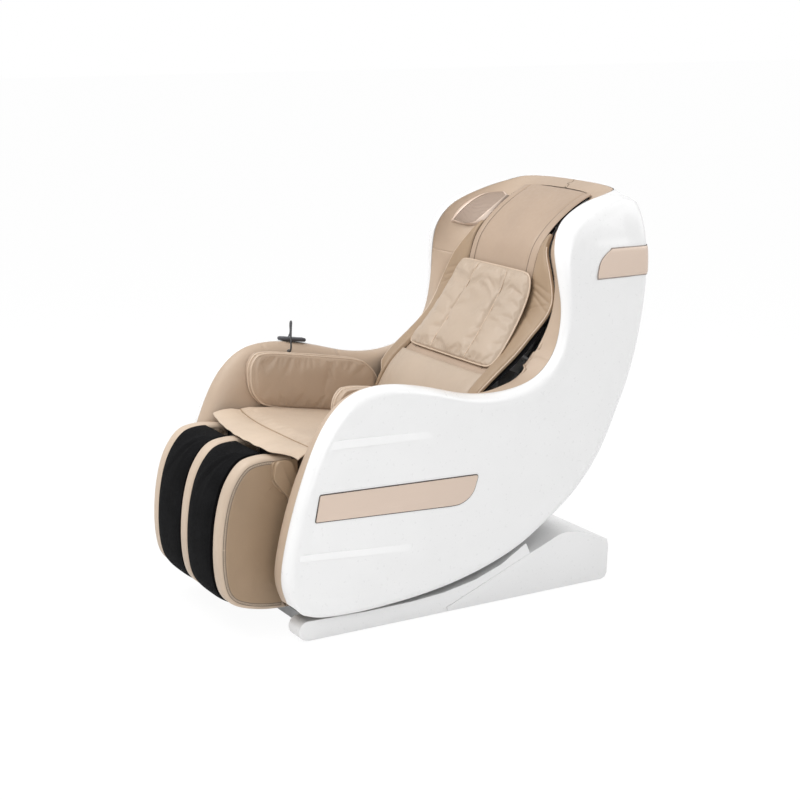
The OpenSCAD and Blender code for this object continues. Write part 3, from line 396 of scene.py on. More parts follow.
def make(name, part, body, look, slot, replaces=(), smooth=42, seal=False):
    """Puts a part into a mesh, turns its faces outwards, gives it its finish and its body.

    The look is a finish's name, or a material.
    """
    points, faces = part[0], part[1]
    mesh = bpy.data.meshes.new(name)
    mesh.from_pydata((np.asarray(points) * 0.001).tolist(), [],
                     faces.tolist() if hasattr(faces, "tolist") else faces)
    if len(part) > 2:
        layer = mesh.uv_layers.new(name="UVMap")
        corner = np.empty(len(mesh.loops), np.int32)
        mesh.loops.foreach_get("vertex_index", corner)
        layer.data.foreach_set("uv", (part[2][corner] * 0.001).astype(np.float32).ravel())
    work = bmesh.new()
    work.from_mesh(mesh)
    if seal:
        bmesh.ops.remove_doubles(work, verts=work.verts, dist=0.00002)
    bmesh.ops.recalc_face_normals(work, faces=work.faces)
    if work.calc_volume(signed=True) < 0:
        bmesh.ops.reverse_faces(work, faces=work.faces)
    work.to_mesh(mesh)
    work.free()
    mesh.shade_smooth()
    if smooth < 180:
        mesh.set_sharp_from_angle(angle=np.radians(smooth))
    mesh.materials.append(finish(look) if isinstance(look, str) else look)
    obj = bpy.data.objects.new(name, mesh)
    bpy.context.scene.collection.objects.link(obj)
    if body:
        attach(obj, body)
    if replaces:
        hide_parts(*replaces)
    return obj


def pair(name, part, body, look, slot, replaces=(), **settings):
    """The part on the sitter's left and its mirror image on the right; {} stands for the side."""
    return [make(name.format(end), mirrored(part, side), body, look, slot,
                 [node.format(end) for node in replaces], **settings)
            for side, end in ((1, "left"), (-1, "right"))]


def puff(obj, free, pressure=4.0, cap=8.0, slack=0.02, frames=16):
    """Blows the piece up as cloth held at its seams, and keeps each point within cap of its start.

    Only the lattice points marked free move; they come first in the mesh. The cloth's rest size
    grows by the slack, so that it puckers along what holds it.
    """
    mesh = obj.data
    held = np.ones(len(mesh.vertices), bool)
    held[:free.size] = ~free.ravel()
    start = np.empty(len(mesh.vertices) * 3)
    mesh.vertices.foreach_get("co", start)
    start = start.reshape(-1, 3)
    group = obj.vertex_groups.new(name="held")
    group.add([int(k) for k in np.flatnonzero(held)], 1.0, "ADD")
    cloth = obj.modifiers.new("puff", "CLOTH")
    s = cloth.settings
    s.use_pressure, s.uniform_pressure_force = True, pressure
    s.effector_weights.gravity = 0
    s.vertex_group_mass = "held"
    s.shrink_min = -slack
    s.quality, s.mass = 5, 0.4
    s.tension_stiffness = s.compression_stiffness = 20
    s.shear_stiffness, s.bending_stiffness = 8, 1.2
    cloth.collision_settings.use_collision = False
    scene = bpy.context.scene
    scene.frame_start, scene.frame_end = 1, frames
    for k in range(1, frames + 1):
        scene.frame_set(k)
    graph = bpy.context.evaluated_depsgraph_get()
    moved = np.empty(len(mesh.vertices) * 3)
    obj.evaluated_get(graph).data.vertices.foreach_get("co", moved)
    shift = moved.reshape(-1, 3) - start
    far = np.linalg.norm(shift, axis=1, keepdims=True) * 1000
    shift = np.where(np.isfinite(shift), shift, 0)
    shift = shift * (np.tanh(far / cap) * cap / np.maximum(far, 1e-6))
    obj.modifiers.remove(cloth)
    obj.vertex_groups.remove(group)
    mesh.vertices.foreach_set("co", (start + shift).ravel())
    mesh.update()
    scene.frame_set(1)


# ---- finishes ----------------------------------------------------------------

def added(owner, kind, feeds=(), **settings):
    """A node in the owner's tree; each feed links a socket to an input, or sets it to a value."""
    node = owner.node_tree.nodes.new("ShaderNode" + kind)
    for key, value in settings.items():
        setattr(node, key, value)
    for key, value in dict(feeds).items():
        if isinstance(value, bpy.types.NodeSocket):
            owner.node_tree.links.new(value, node.inputs[key])
        else:
            node.inputs[key].default_value = value
    return node


def crossed_waves(mat, where, scale, distortion=0.0):
    """Height of two wave patterns at right angles, multiplied."""
    x, y = (added(mat, "TexWave", {"Vector": where, "Scale": scale, "Distortion": distortion},
                  bands_direction=way).outputs[1] for way in ("X", "Y"))
    return added(mat, "Math", {0: x, 1: y}, operation="MULTIPLY").outputs[0]


def rays(owner, *kinds):
    """1 where the light path is of one of these kinds, and 0 elsewhere."""
    path = added(owner, "LightPath")
    seen = path.outputs[kinds[0]]
    for kind in kinds[1:]:
        seen = added(owner, "Math", {0: seen, 1: path.outputs[kind]}, operation="MAXIMUM").outputs[0]
    return seen


def surface(name, pale, deep, patch=9.0, rough=0.5, swing=0.08, metal=0.0, coat=0.0,
            coat_rough=0.1, sheen=0.0, relief=(), specular=0.5):
    """A finish from nodes: two tones in soft patches, uneven gloss and layers of relief.

    Each relief is (kind, scale per metre, depth in metres): grain is a cell pattern, cloud a
    soft noise, and knit two crossed wave patterns on the piece's own UV map.
    """
    mat = bpy.data.materials.new(name)
    mat.use_nodes = True
    links, skin = mat.node_tree.links, mat.node_tree.nodes["Principled BSDF"]
    where = added(mat, "TexCoord").outputs
    cloud = added(mat, "TexNoise", {"Vector": where["Object"], "Scale": patch, "Detail": 4})
    spread = added(mat, "MapRange", {"Value": cloud.outputs[0], "From Min": 0.35, "From Max": 0.65})
    tone = added(mat, "Mix", data_type="RGBA")
    tone.inputs[6].default_value, tone.inputs[7].default_value = (*deep, 1), (*pale, 1)
    links.new(spread.outputs[0], tone.inputs[0])
    links.new(tone.outputs[2], skin.inputs["Base Color"])
    fine = added(mat, "TexNoise", {"Vector": where["Object"], "Scale": patch * 12})
    gloss = added(mat, "MapRange", {"Value": fine.outputs[0], "From Min": 0.3, "From Max": 0.7,
                                    "To Min": rough - swing, "To Max": rough + swing})
    links.new(gloss.outputs[0], skin.inputs["Roughness"])
    skin.inputs["Metallic"].default_value = metal
    skin.inputs["Specular IOR Level"].default_value = specular
    skin.inputs["Coat Weight"].default_value = coat
    skin.inputs["Coat Roughness"].default_value = coat_rough
    skin.inputs["Sheen Weight"].default_value = sheen
    skin.inputs["Sheen Roughness"].default_value = 0.4
    below = None
    for kind, scale, depth in relief:
        if kind == "grain":
            height = added(mat, "TexVoronoi", {"Vector": where["Object"], "Scale": scale},
                           feature="SMOOTH_F1").outputs["Distance"]
        elif kind == "knit":
            height = crossed_waves(mat, where["UV"], scale, 0.6)
        else:
            height = added(mat, "TexNoise",
                           {"Vector": where["Object"], "Scale": scale, "Detail": 5}).outputs[0]
        bump = added(mat, "Bump", {"Height": height, "Distance": depth, "Strength": 1.0},
                     invert=kind == "grain")
        if below is not None:
            links.new(below, bump.inputs["Normal"])
        below = bump.outputs[0]
    if below is not None:
        links.new(below, skin.inputs["Normal"])
    return mat


def perforated(name, plate, hole, pitch):
    """A pressed grille: dark round holes in staggered rows on the piece's own UV map."""
    mat = surface(name, plate, plate, rough=0.45)
    links, skin = mat.node_tree.links, mat.node_tree.nodes["Principled BSDF"]
    turned = added(mat, "Mapping", {"Vector": added(mat, "TexCoord").outputs["UV"],
                                    "Rotation": (0, 0, np.pi / 4)})
    height = crossed_waves(mat, turned.outputs[0], 0.314 / pitch)
    ramp = added(mat, "ValToRGB", {0: height})
    for stop, position, tone in zip(ramp.color_ramp.elements, (0.5, 0.62), (plate, hole)):
        stop.position, stop.color = position, (*tone, 1)
    bump = added(mat, "Bump", {"Height": height, "Distance": 0.0008}, invert=True)
    links.new(ramp.outputs[0], skin.inputs["Base Color"])
    links.new(bump.outputs[0], skin.inputs["Normal"])
    return mat


# Share of the hide's colour on each group of panels: painted light and shade, a paler copy for the
# apron as if lit from above and darker copies for the linings, curtain, cushions, arm pads and sides as
# if in shade.
HIDE_LIGHT_SHARES = {
    "beige_hide": (1, 1, 1), "lit_apron_hide": (1.1, 1.11, 1.11), "shaded_lining_hide": (0.87, 0.84, 0.82),
    "shaded_curtain_hide": (0.76, 0.71, 0.68), "shaded_cushion_hide": (0.84, 0.84, 0.84),
    "shaded_arm_pad_hide": (0.8, 0.76, 0.73), "shade_darkened_hide": (0.61, 0.54, 0.45)}
# Hard finishes: (colour, roughness, metal, coat).
HARD = {
    "steel_paint": ((0.42, 0.425, 0.43), 0.42, 0.0, 0.2),
    "bright_steel": ((0.62, 0.63, 0.64), 0.24, 1.0, 0.0),
    "black_plastic": ((0.006, 0.006, 0.0065), 0.42, 0.0, 0.0),
    "grey_plastic": ((0.03, 0.031, 0.033), 0.5, 0.0, 0.0),
    "rubber": ((0.02, 0.02, 0.02), 0.8, 0.0, 0.0),
    "cord_jacket": ((0.006, 0.006, 0.0065), 0.5, 0.0, 0.0),
    "switch_red": ((0.42, 0.03, 0.03), 0.35, 0.0, 0.3),
    "gap_shadow": ((0.10, 0.085, 0.075), 0.8, 0.0, 0.0),
    "soft_gap_shadow": ((0.34, 0.29, 0.26), 0.8, 0.0, 0.0)}


def finish(key):
    """The finish of that name, made from the panel's colours the first time it is asked for."""
    if key in bpy.data.materials:
        return bpy.data.materials[key]
    look = bpy.context.scene.chair_colours
    white, hide, rose, black = (np.array(colour[:]) for colour in (
        look.moulding, look.hide, look.trim, look.knit))
    if key == "white_moulding":
        return surface(key, white, white * 0.985, rough=0.3, swing=0.03, coat=0.5,
                       coat_rough=0.12, relief=(("cloud", 160, 0.00003),))
    if key in HIDE_LIGHT_SHARES:
        tone = hide * HIDE_LIGHT_SHARES[key]
        return surface(key, tone * 1.02, tone * 0.94, patch=7, rough=0.5, swing=0.06, coat=0.06,
                       coat_rough=0.35, specular=0.42,
                       relief=(("cloud", 36, 0.0007), ("grain", 760, 0.00016),
                               ("cloud", 900, 0.00006)))
    # Painted highlight: the ridges are a whiter, glossier copy of the moulding, so that they read
    # lighter as if catching the light.
    if key == "ridge_gloss_and_highlight":
        return surface(key, np.minimum(white * 1.07, 0.97), np.minimum(white * 1.055, 0.96),
                       rough=0.24, swing=0.02, coat=0.6, relief=(("cloud", 160, 0.00003),))
    # Paler than the hide; the same tone makes the cords of painted highlight in the pillow's channels.
    if key == "beige_piping":
        return surface(key, hide * 1.1, hide * 1.02, patch=20, rough=0.45, swing=0.05,
                       coat=0.1, coat_rough=0.3, relief=(("grain", 1100, 0.0001),))
    if key == "thread":
        return surface(key, hide * 0.36, hide * 0.3, patch=300, rough=0.6,
                       relief=(("cloud", 3000, 0.0001),))
    if key == "rose_satin":
        return surface(key, rose, rose * 0.97, patch=5, rough=0.34, swing=0.03,
                       metal=0.12, coat=0.35, coat_rough=0.18, relief=(("cloud", 700, 0.00002),))
    if key == "black_knit":
        return surface(key, black * 1.3, black * 0.8, patch=16, rough=0.85, swing=0.08,
                       specular=0.06, relief=(("cloud", 24, 0.0012), ("knit", 260, 0.00025)))
    if key == "black_mesh":
        return surface(key, black * 1.1, black * 0.5, patch=30, rough=0.9, specular=0.05,
                       relief=(("knit", 160, 0.0005),))
    if key == "grille":
        return perforated(key, rose * [0.62, 0.58, 0.55], rose * 0.12, 0.0044)
    tone, rough, metal, coat = HARD[key]
    tone = np.array(tone)
    return surface(key, tone * 1.1, tone * 0.85, patch=24, rough=rough, swing=0.06, metal=metal,
                   coat=coat, specular=0.5 if tone.max() > 0.05 else 0.12,
                   relief=(("cloud", 420, 0.00006),))


# ---- sizes and colours that a user would change ------------------------------

class ChairColours(bpy.types.PropertyGroup):
    moulding: FloatVectorProperty(name="Moulding", description="Colour of the moulded shell and base",
                                  size=3, subtype="COLOR", min=0, max=1, default=(0.845, 0.845, 0.845))
    hide: FloatVectorProperty(name="Hide", description="Colour of the leather", size=3,
                              subtype="COLOR", min=0, max=1, default=(0.565, 0.447, 0.342))
    trim: FloatVectorProperty(name="Trim", description="Colour of the satin trim strips", size=3,
                              subtype="COLOR", min=0, max=1, default=(0.67, 0.535, 0.44))
    knit: FloatVectorProperty(name="Knit", description="Colour of the black calf pads and mesh", size=3,
                              subtype="COLOR", min=0, max=1, default=(0.0045, 0.0045, 0.005))


class ChairSizes(bpy.types.PropertyGroup):
    panel_sink: FloatProperty(name="Panel sink", description="Depth of a side panel below its rim",
                              default=0.0045, min=0, max=0.006, unit="LENGTH")
    ridge: FloatProperty(name="Ridge height", description="Height of the two ridges on a side panel",
                         default=0.0044, min=0, max=0.005, unit="LENGTH")
    piping: FloatProperty(name="Piping radius", description="Radius of the sewn piping",
                          default=0.0024, min=0.001, max=0.005, unit="LENGTH")
    pillow_crown: FloatProperty(name="Pillow crown", description="Height of the pillow's crown",
                                default=0.024, min=0.01, max=0.03, unit="LENGTH")
    seam: FloatProperty(name="Seam depth", description="Depth of the sewn seams",
                        default=0.0034, min=0, max=0.004, unit="LENGTH")
    cord: FloatProperty(name="Cord diameter", description="Diameter of the handset's cord",
                        default=0.005, min=0.004, max=0.006, unit="LENGTH")


class StudioLight(bpy.types.PropertyGroup):
    sky: FloatProperty(name="Sky", description="Strength of the even light from all round",
                       default=0.5, min=0, max=2)
    key: FloatProperty(name="Key lamp", description="Power of the large lamp above the front",
                       default=88, min=0, max=500, unit="POWER")
    side: FloatProperty(name="Side lamp", description="Power of the soft lamp beside the chair",
                        default=38, min=0, max=500, unit="POWER")


def mm(value):
    """A length property in millimetres."""
    return value * 1000


# ---- shapes of the tub -------------------------------------------------------

def dome(z):
    """Share of the half width at height z: 1 up to DOME_Z, then (1-lift^3.6)^(1/4.9)."""
    lift = np.clip((z - DOME_Z) / (CROWN_Z - DOME_Z), 0, 1.3)
    return np.maximum(0.02, 1 - lift ** 3.6) ** (1 / 4.9)


def outer_x(z):
    """Half width of the tub at height z."""
    return HALF_WIDTH * dome(z)


def rear_y(z):
    """Rear of the tub at height z."""
    return np.interp(z, REAR_Y[:, 1], REAR_Y[:, 0])


def band_front(z):
    """Front edge of the hood's band: straight, then swept back in a quarter curve at its top."""
    v = np.clip((z - BAND_Z) / (BAND_TOP - BAND_Z), 0, 1)
    return BAND_FRONT - 8 + 24 * v + 30 * np.maximum(0, (v - 0.4) / 0.6) ** 2.3 + 4 * (1 - v) ** 8


def swell_by_band(y, z):
    """1 close to the band's outline and fading over 30 mm: the panel rises to meet it."""
    dy = np.maximum(0, BAND_FRONT + 6 - y)
    dz = np.maximum(0, np.maximum(BAND_Z - z, z - BAND_TOP))
    return 1 - ease(np.hypot(dy, dz) / 30)


def panel(t, a, sink):
    """Side panel at rim station t: a from 0 to 1 rounds the rim, to 2 is the sunk face and to 3
    the lower edge.

    The rim is a quarter ellipse from the crest to the full half width, the face lies sink
    deep, and the lower edge is a quarter circle.
    """
    c, k = crest(t), keel(t)
    run = k - c[..., 1:]
    reach = np.linalg.norm(run, axis=-1)
    way = run / reach[..., None]
    r = np.minimum(RIM, reach / 2.2)
    q = np.pi / 2
    d = np.select([a < 1, a < 2], [r * (1 - np.cos(q * a)), mix(r, reach - r, a - 1)],
                  reach - r * (1 - np.sin(q * (a - 2))))
    y, z = c[..., 1] + way[..., 0] * d, c[..., 2] + way[..., 1] * d
    edge = outer_x(z)
    room = np.clip(reach / 200, 0, 1)
    deep = sink * ease((d - r) / 40) * ease((reach - r - d) / 55) * room
    deep = deep * (1 - 0.9 * swell_by_band(y, z))
    x = np.select([a < 1, a < 2], [mix(c[..., 0], edge, np.sin(q * a)), edge - deep],
                  edge - r * (1 - np.cos(q * (a - 2))))
    return place(x, y, z)


RIM_LINE = crest(np.linspace(0, 0.5, 200))[:, 1:]
FRONT_RIM = RIM_LINE[:np.argmax(RIM_LINE[:, 1])]


def ridge(top, foot, height, sink, n=110):
    """A raised wedge on the sunk face: flush along its upper line, proud along its lower one.

    Both lines run rearwards in (y, z). It follows the face, whose depth grows over 40 mm from
    the rim, and its height fades to nothing before the rear end.
    """
    u, v = lattice(n, 9, v=np.array([0, 0.08, 0.2, 0.35, 0.5, 0.65, 0.8, 0.9, 0.96, 1.0]))
    y = mix(mix(top[0][0], top[1][0], u), mix(foot[0][0], foot[1][0], u), v)
    z = mix(mix(top[0][1], top[1][1], u), mix(foot[0][1], foot[1][1], u), v)
    inside = np.min(np.hypot(y[..., None] - RIM_LINE[:, 0], z[..., None] - RIM_LINE[:, 1]), -1)
    ahead = np.interp(z, FRONT_RIM[:, 1], FRONT_RIM[:, 0]) + RIM - y
    y = y + np.maximum(0, ahead)
    under = HALF_WIDTH - sink * ease((inside - RIM) / 40)
    fade = (1 - ease((u - 0.3) / 0.7)) * ease(u / 0.04)
    rise = height * fade * np.where(v < 0.92, 0.25 + 0.75 * v, 1.0)
    x = np.minimum(under + rise - 0.5 * (1 - fade), HALF_WIDTH + 0.25)
    return closed(place(x, y, z), place(under - 2.4, y, z), rings=2, swell=0.1)


def back_face(u, v):
    """Rear panel: up the rear line for v to 0.8, then a quadratic curve over to the hood's rim."""
    across = 2 * u - 1
    w = np.maximum(0, v * 1.25 - 1)[..., None] * 4
    k = keel(mix(9 / LAST, SIDE_END, np.minimum(1, v * 1.25)))
    half = outer_x(k[..., 1]) - RIM - 0.4
    a = place(-across * half, k[..., 0] - 0.5, k[..., 1])
    b = crest(mix(1, SIDE_END, np.abs(across)))
    b = place(-np.sign(across) * b[..., 0], b[..., 1], b[..., 2])
    q = place(mix(a[..., 0], b[..., 0], 0.5), k[..., 0] - 1, b[..., 2])
    over = a * (1 - w) ** 2 + q * 2 * w * (1 - w) + b * w * w
    return np.where(w <= 0, a, over)


def hooded(t):
    """0 along the arms and 1 inside the hood, with a smooth change past the shoulder."""
    return ease((t * LAST - 11) / 3)


def proud(t):
    """Direction in which the padded lining stands out from the rim."""
    step = unit((crest(t + 0.008) - crest(t - 0.008)) * [0, 1, 1])
    arm = place(0, -step[..., 2], step[..., 1]) * 0.8
    return mix(arm, np.array([0, -0.3, 0.6]), ease((t - 0.81) / 0.1)[..., None])


def lining(t, s):
    """Lining from the rim (s = 0) to its inner edge (s = 1).

    Over the arms it rolls inwards first, x by 1-(1-s)^2.6 and down by s^1.6; inside the hood
    it runs back first and then inwards. A half sine of s makes it stand proud.
    """
    t, s = np.broadcast_arrays(t, s)
    c, v, h = crest(t), inner(t), hooded(t)
    roll = mix(1 - (1 - s) ** 2.6, s ** 1.3, h)
    drop = mix(s ** 1.6, 1 - (1 - s) ** 2, h)
    a = c + mix(1.2, 4.8, h)[..., None] * unit(v - c)
    base = place(mix(a[..., 0], v[..., 0], roll), mix(a[..., 1], v[..., 1], drop),
                 mix(a[..., 2], v[..., 2], drop))
    return base + (mix(10, 2, h) * np.sin(np.pi * s))[..., None] * proud(t)


def band_ring(s, z):
    """Point of the U-shaped band at share s of its way: side, corner, rear, corner, side."""
    half, back, r = outer_x(z) + 0.4, rear_y(z) + 0.4, RIM + 0.4
    e = 0.84 * r
    front = band_front(z)
    side, across, arc = back - e - front, 2 * (half - r), r * np.pi / 2
    total = 2 * side + 2 * arc + across
    d = s * total
    d = np.minimum(d, total - d)
    g = np.clip((d - side) / arc, 0, 1) * np.pi / 2
    x = np.where(d < side, half, half - r + r * np.cos(g) - np.maximum(0, d - side - arc))
    y = np.where(d < side, front + d, back - e + e * np.sin(g))
    return place(np.where(s <= 0.5, x, -x), y, z)


LINING_EDGE = inner(np.linspace(9, 17.5, 300) / LAST)


def lining_edge(z):
    """Half distance between the linings' inner edges at height z."""
    return np.interp(z, LINING_EDGE[:, 2], LINING_EDGE[:, 0])


def cover_half(t):
    """Half width of the back cover: as wide as the lumbar pad at its foot, then narrow."""
    return mix(206, mix(161, 154, t), ease((t - 0.3) / 0.14))


def on_back(x, t, lift):
    """Point x across the back at t up its middle line, lifted square to that line."""
    p = cover(t)
    d = unit(cover(t + 0.006) - cover(t - 0.006))
    return place(x, p[..., 0] - d[..., 1] * lift, p[..., 1] + d[..., 0] * lift)


# ---- the stage ---------------------------------------------------------------

class MakeStage(bpy.types.Operator):
    """Camera, soft lamps, pale floor and an even white sky"""
    bl_idname = "chair.stage"
    bl_label = "Stage"
    bl_options = {"REGISTER", "UNDO"}

    def execute(self, context):
        scene, light = context.scene, context.scene.chair_light
        scene.view_settings.view_transform = "Standard"
        lens = bpy.data.cameras.new("camera")
        lens.sensor_width, lens.lens = 36, 75.23
        eye = bpy.data.objects.new("camera", lens)
        eye.location = (3.8416, -2.2255, 1.5737)
        eye.rotation_mode = "QUATERNION"
        eye.rotation_quaternion = Vector((-0.83784, 0.49349, -0.23345)).to_track_quat("-Z", "Y")
        scene.collection.objects.link(eye)
        scene.camera = eye
        for name, spot, aim, size, power in (
                ("key_lamp", (-0.7, -1.7, 3.4), (0, 0, 0.6), 2.4, light.key),
                ("side_lamp", (3.0, -1.6, 1.9), (0, 0, 0.5), 2.6, light.side),
                ("back_lamp", (1.2, 2.6, 2.4), (0, 0.3, 0.7), 2.2, light.side * 0.65)):
            data = bpy.data.lights.new(name, "AREA")
            data.size, data.energy = size, power
            lamp = bpy.data.objects.new(name, data)
            lamp.location = spot
            lamp.rotation_mode = "QUATERNION"
            lamp.rotation_quaternion = (Vector(aim) - Vector(spot)).to_track_quat("-Z", "Y")
            scene.collection.objects.link(lamp)
        sky = bpy.data.worlds.new("sky")
        scene.world = sky
        sky.use_nodes = True
        back = sky.node_tree.nodes["Background"]
        back.inputs["Color"].default_value = (1, 1, 1, 1)
        seen = rays(sky, "Is Camera Ray", "Is Glossy Ray", "Is Transmission Ray")
        level = added(sky, "MapRange", {"Value": seen, "To Min": light.sky, "To Max": 1.0})
        sky.node_tree.links.new(level.outputs[0], back.inputs["Strength"])
        u, v = lattice(2, 2)
        floor = place(mix(-30000, 30000, u), mix(-30000, 30000, v), -0.3)
        floor = make("floor", closed(floor, floor - [0, 0, 4], rings=0), None, self.pale(), None)
        return {"FINISHED"}

    @staticmethod
    def pale():
        """White floor: what the camera sees is mostly its own white, under a light shadow."""
        mat = surface("floor_white", (0.9, 0.9, 0.9), (0.9, 0.9, 0.9), rough=0.9, specular=0.1)
        nodes, links = mat.node_tree.nodes, mat.node_tree.links
        seen = rays(mat, "Is Camera Ray", "Is Glossy Ray")
        share = added(mat, "Math", {0: seen, 1: 0.91}, operation="MULTIPLY")
        glow = added(mat, "Emission", {"Strength": 1.04})
        blend = added(mat, "MixShader", {0: share.outputs[0], 1: nodes["Principled BSDF"].outputs[0],
                                         2: glow.outputs[0]})
        links.new(blend.outputs[0], nodes["Material Output"].inputs[0])
        return mat


# ---- handset -----------------------------------------------------------------

HANDSET_AT, HANDSET_TILT = np.array([-327, -128, 628.4]), np.radians([-9, -6])


def at_handset(points):
    """Local handset points turned by its tilt about X, then about Y, and put in their place."""
    a, b = HANDSET_TILT
    p = np.asarray(points, float)
    x, y = p[..., 0], p[..., 1] * np.cos(a) - p[..., 2] * np.sin(a)
    z = p[..., 1] * np.sin(a) + p[..., 2] * np.cos(a)
    return place(x * np.cos(b) + z * np.sin(b), y, -x * np.sin(b) + z * np.cos(b)) + HANDSET_AT


def lathe(profile, centre, sides=40, stretch=0.0):
    """A profile of (radius, height) turned about a vertical line; stretch pulls it into a stadium."""
    r, z = np.asarray(profile, float).T
    g = 2 * np.pi * (np.arange(sides) + 0.5) / sides
    x, y = np.outer(r, np.cos(g)), np.outer(r, np.sin(g))
    y = y + np.sign(np.sin(g))[None] * stretch
    points = place(x + centre[0], y + centre[1], z[:, None]).reshape(-1, 3)
    return points, tube(len(r), sides)


class MakeHandsetCord(bpy.types.Operator):
    """The handset's short cord: out of the arm, over in one arch and into the boot"""
    bl_idname = "chair.handset_cord"
    bl_label = "Handset cord"
    bl_options = {"REGISTER", "UNDO"}

    def execute(self, context):
        path = line(CORD, blur=0.1)(np.linspace(0, 1, 140))
        radius = mm(context.scene.chair_sizes.cord) / 2
        cord = make("handset_lead", rod(path[2:-2], radius, sides=16), "shell", "cord_jacket",
                    "cord_jacket", ("handset_cord",))
        way = unit(path[3] - path[0])
        sleeve = path[0] + np.outer(np.linspace(-4.6, 3.5, 10), way)
        make("lead_grommet", rod(sleeve, np.linspace(5.6, 3.3, 10), sides=24), "shell",
             "rubber", "rubber", ("cord_grommet",))
        return {"FINISHED"}


class MakeHandset(bpy.types.Operator):
    """Handset body with its parting line and boot, and its three keys"""
    bl_idname = "chair.handset"
    bl_label = "Handset"
    bl_options = {"REGISTER", "UNDO"}

    def execute(self, context):
        body = [(20, 0), (22.6, 0.2), (24.4, 1.0), (25.6, 2.4), (26.3, 4.2), (26.5, 5.3),
                (26.1, 5.5), (26.1, 5.9), (26.5, 6.1), (26.3, 7.3), (25.4, 8.9), (23.8, 10.2),
                (22.2, 10.8), (20.5, 11.0), (16, 11.0), (8, 11.0)]
        shell = lathe(body, (0, 0), sides=96, stretch=16)
        a = np.linspace(0, 1, 14)
        ribs = 0.35 * (np.arange(14) % 3 == 1)
        boot = np.stack([mix(6.0, 3.1, a ** 0.8) + ribs, 10.4 + 9.4 * a], 1)
        both = joined(shell, lathe(boot, (-16, 2), sides=24))
        make("handset_body", (at_handset(both[0]), both[1]), "shell", "black_plastic",
             "black_plastic", ("handset",), smooth=35)
        for name, node, (x, y, r) in (("power_key", "power_button", (2, 27, 6)),
                                      ("pause_key", "pause_button", (2, -27, 6)),
                                      ("level_key", "level_rocker", (6, 0, 11))):
            cap = [(r * 0.99, 7.7), (r, 9), (r, 11.4), (r - 0.3, 11.9), (r - 0.9, 12.15),
                   (r * 0.6, 12.1), (r * 0.3, 11.95), (0.4, 11.9)]
            part = lathe(cap, (x, y))
            make(name, (at_handset(part[0]), part[1]), node, "grey_plastic", "grey_plastic",
                 (node,), smooth=35)
        return {"FINISHED"}


# ---- tub ---------------------------------------------------------------------

class MakeSideShells(bpy.types.Operator):
    """Side panels with their soft rim, sunk face and two fading ridges"""
    bl_idname = "chair.side_shells"
    bl_label = "Side shells"
    bl_options = {"REGISTER", "UNDO"}

    def execute(self, context):
        sizes = context.scene.chair_sizes
        sink, rise = mm(sizes.panel_sink), mm(sizes.ridge)
        a = np.concatenate([np.linspace(0, 1, 13)[:-1], 1 + np.linspace(0, 1, 61),
                            2 + np.linspace(0, 1, 10)[1:]])
        t, a = lattice(0, 0, u=np.linspace(0, 1, 231) * SIDE_END, v=a)
        face = panel(t, a, sink)
        normal = facing(face, [1, 0, 0])
        wall = closed(face, face - normal * 4, rings=2)
        upper = ridge([[-388, 523], [6, 506]], [[-397, 501], [-22, 489]], rise, sink)
        lower = ridge([[-462, 244], [-40, 213]], [[-464, 228], [-96, 198]], rise, sink)
        pair("side_panel_{}", wall, "shell", "white_moulding", "white_shell", ("side_shell_{}",))
        # The ridges carry a painted highlight: their finish is whiter than the panel's.
        pair("panel_ridges_{}", joined(upper, lower), "shell", "ridge_gloss_and_highlight", "white_shell")
        return {"FINISHED"}


class MakeBackShell(bpy.types.Operator):
    """Rear panel with the crown of the hood, and the corner pieces between it and the sides"""
    bl_idname = "chair.back_shell"
    bl_label = "Back shell"
    bl_options = {"REGISTER", "UNDO"}

    def execute(self, context):
        u, v = lattice(72, 130)
        face = back_face(u, v)
        normal = facing(face, [0, 1, 0])
        wall = mix(4, 1.6, np.maximum(0, 5 * v - 4))[..., None]
        make("rear_panel", closed(face, face - normal * wall, rings=2), "shell",
             "white_moulding", "white_shell", ("back_shell",))
        k, w = lattice(60, 10)
        side = panel(SIDE_END + 0 * k, 3 * k, 0)
        rear = back_face(0 * k, 1 - 0.2 * k)
        corner = mix(side, rear, w[..., None])
        inward = unit(place(0, 480, 960) - corner)
        gusset = closed(corner - inward * 0.2, corner + inward * 2.2, rings=1)
        pair("crown_corner_{}", gusset, "shell", "white_moulding", "white_shell", smooth=60)
        return {"FINISHED"}


TRIM = [[-412, 322], [-399, 388], [63, 374.5], [50, 334], [36, 318], [18, 308], [-2, 303]]


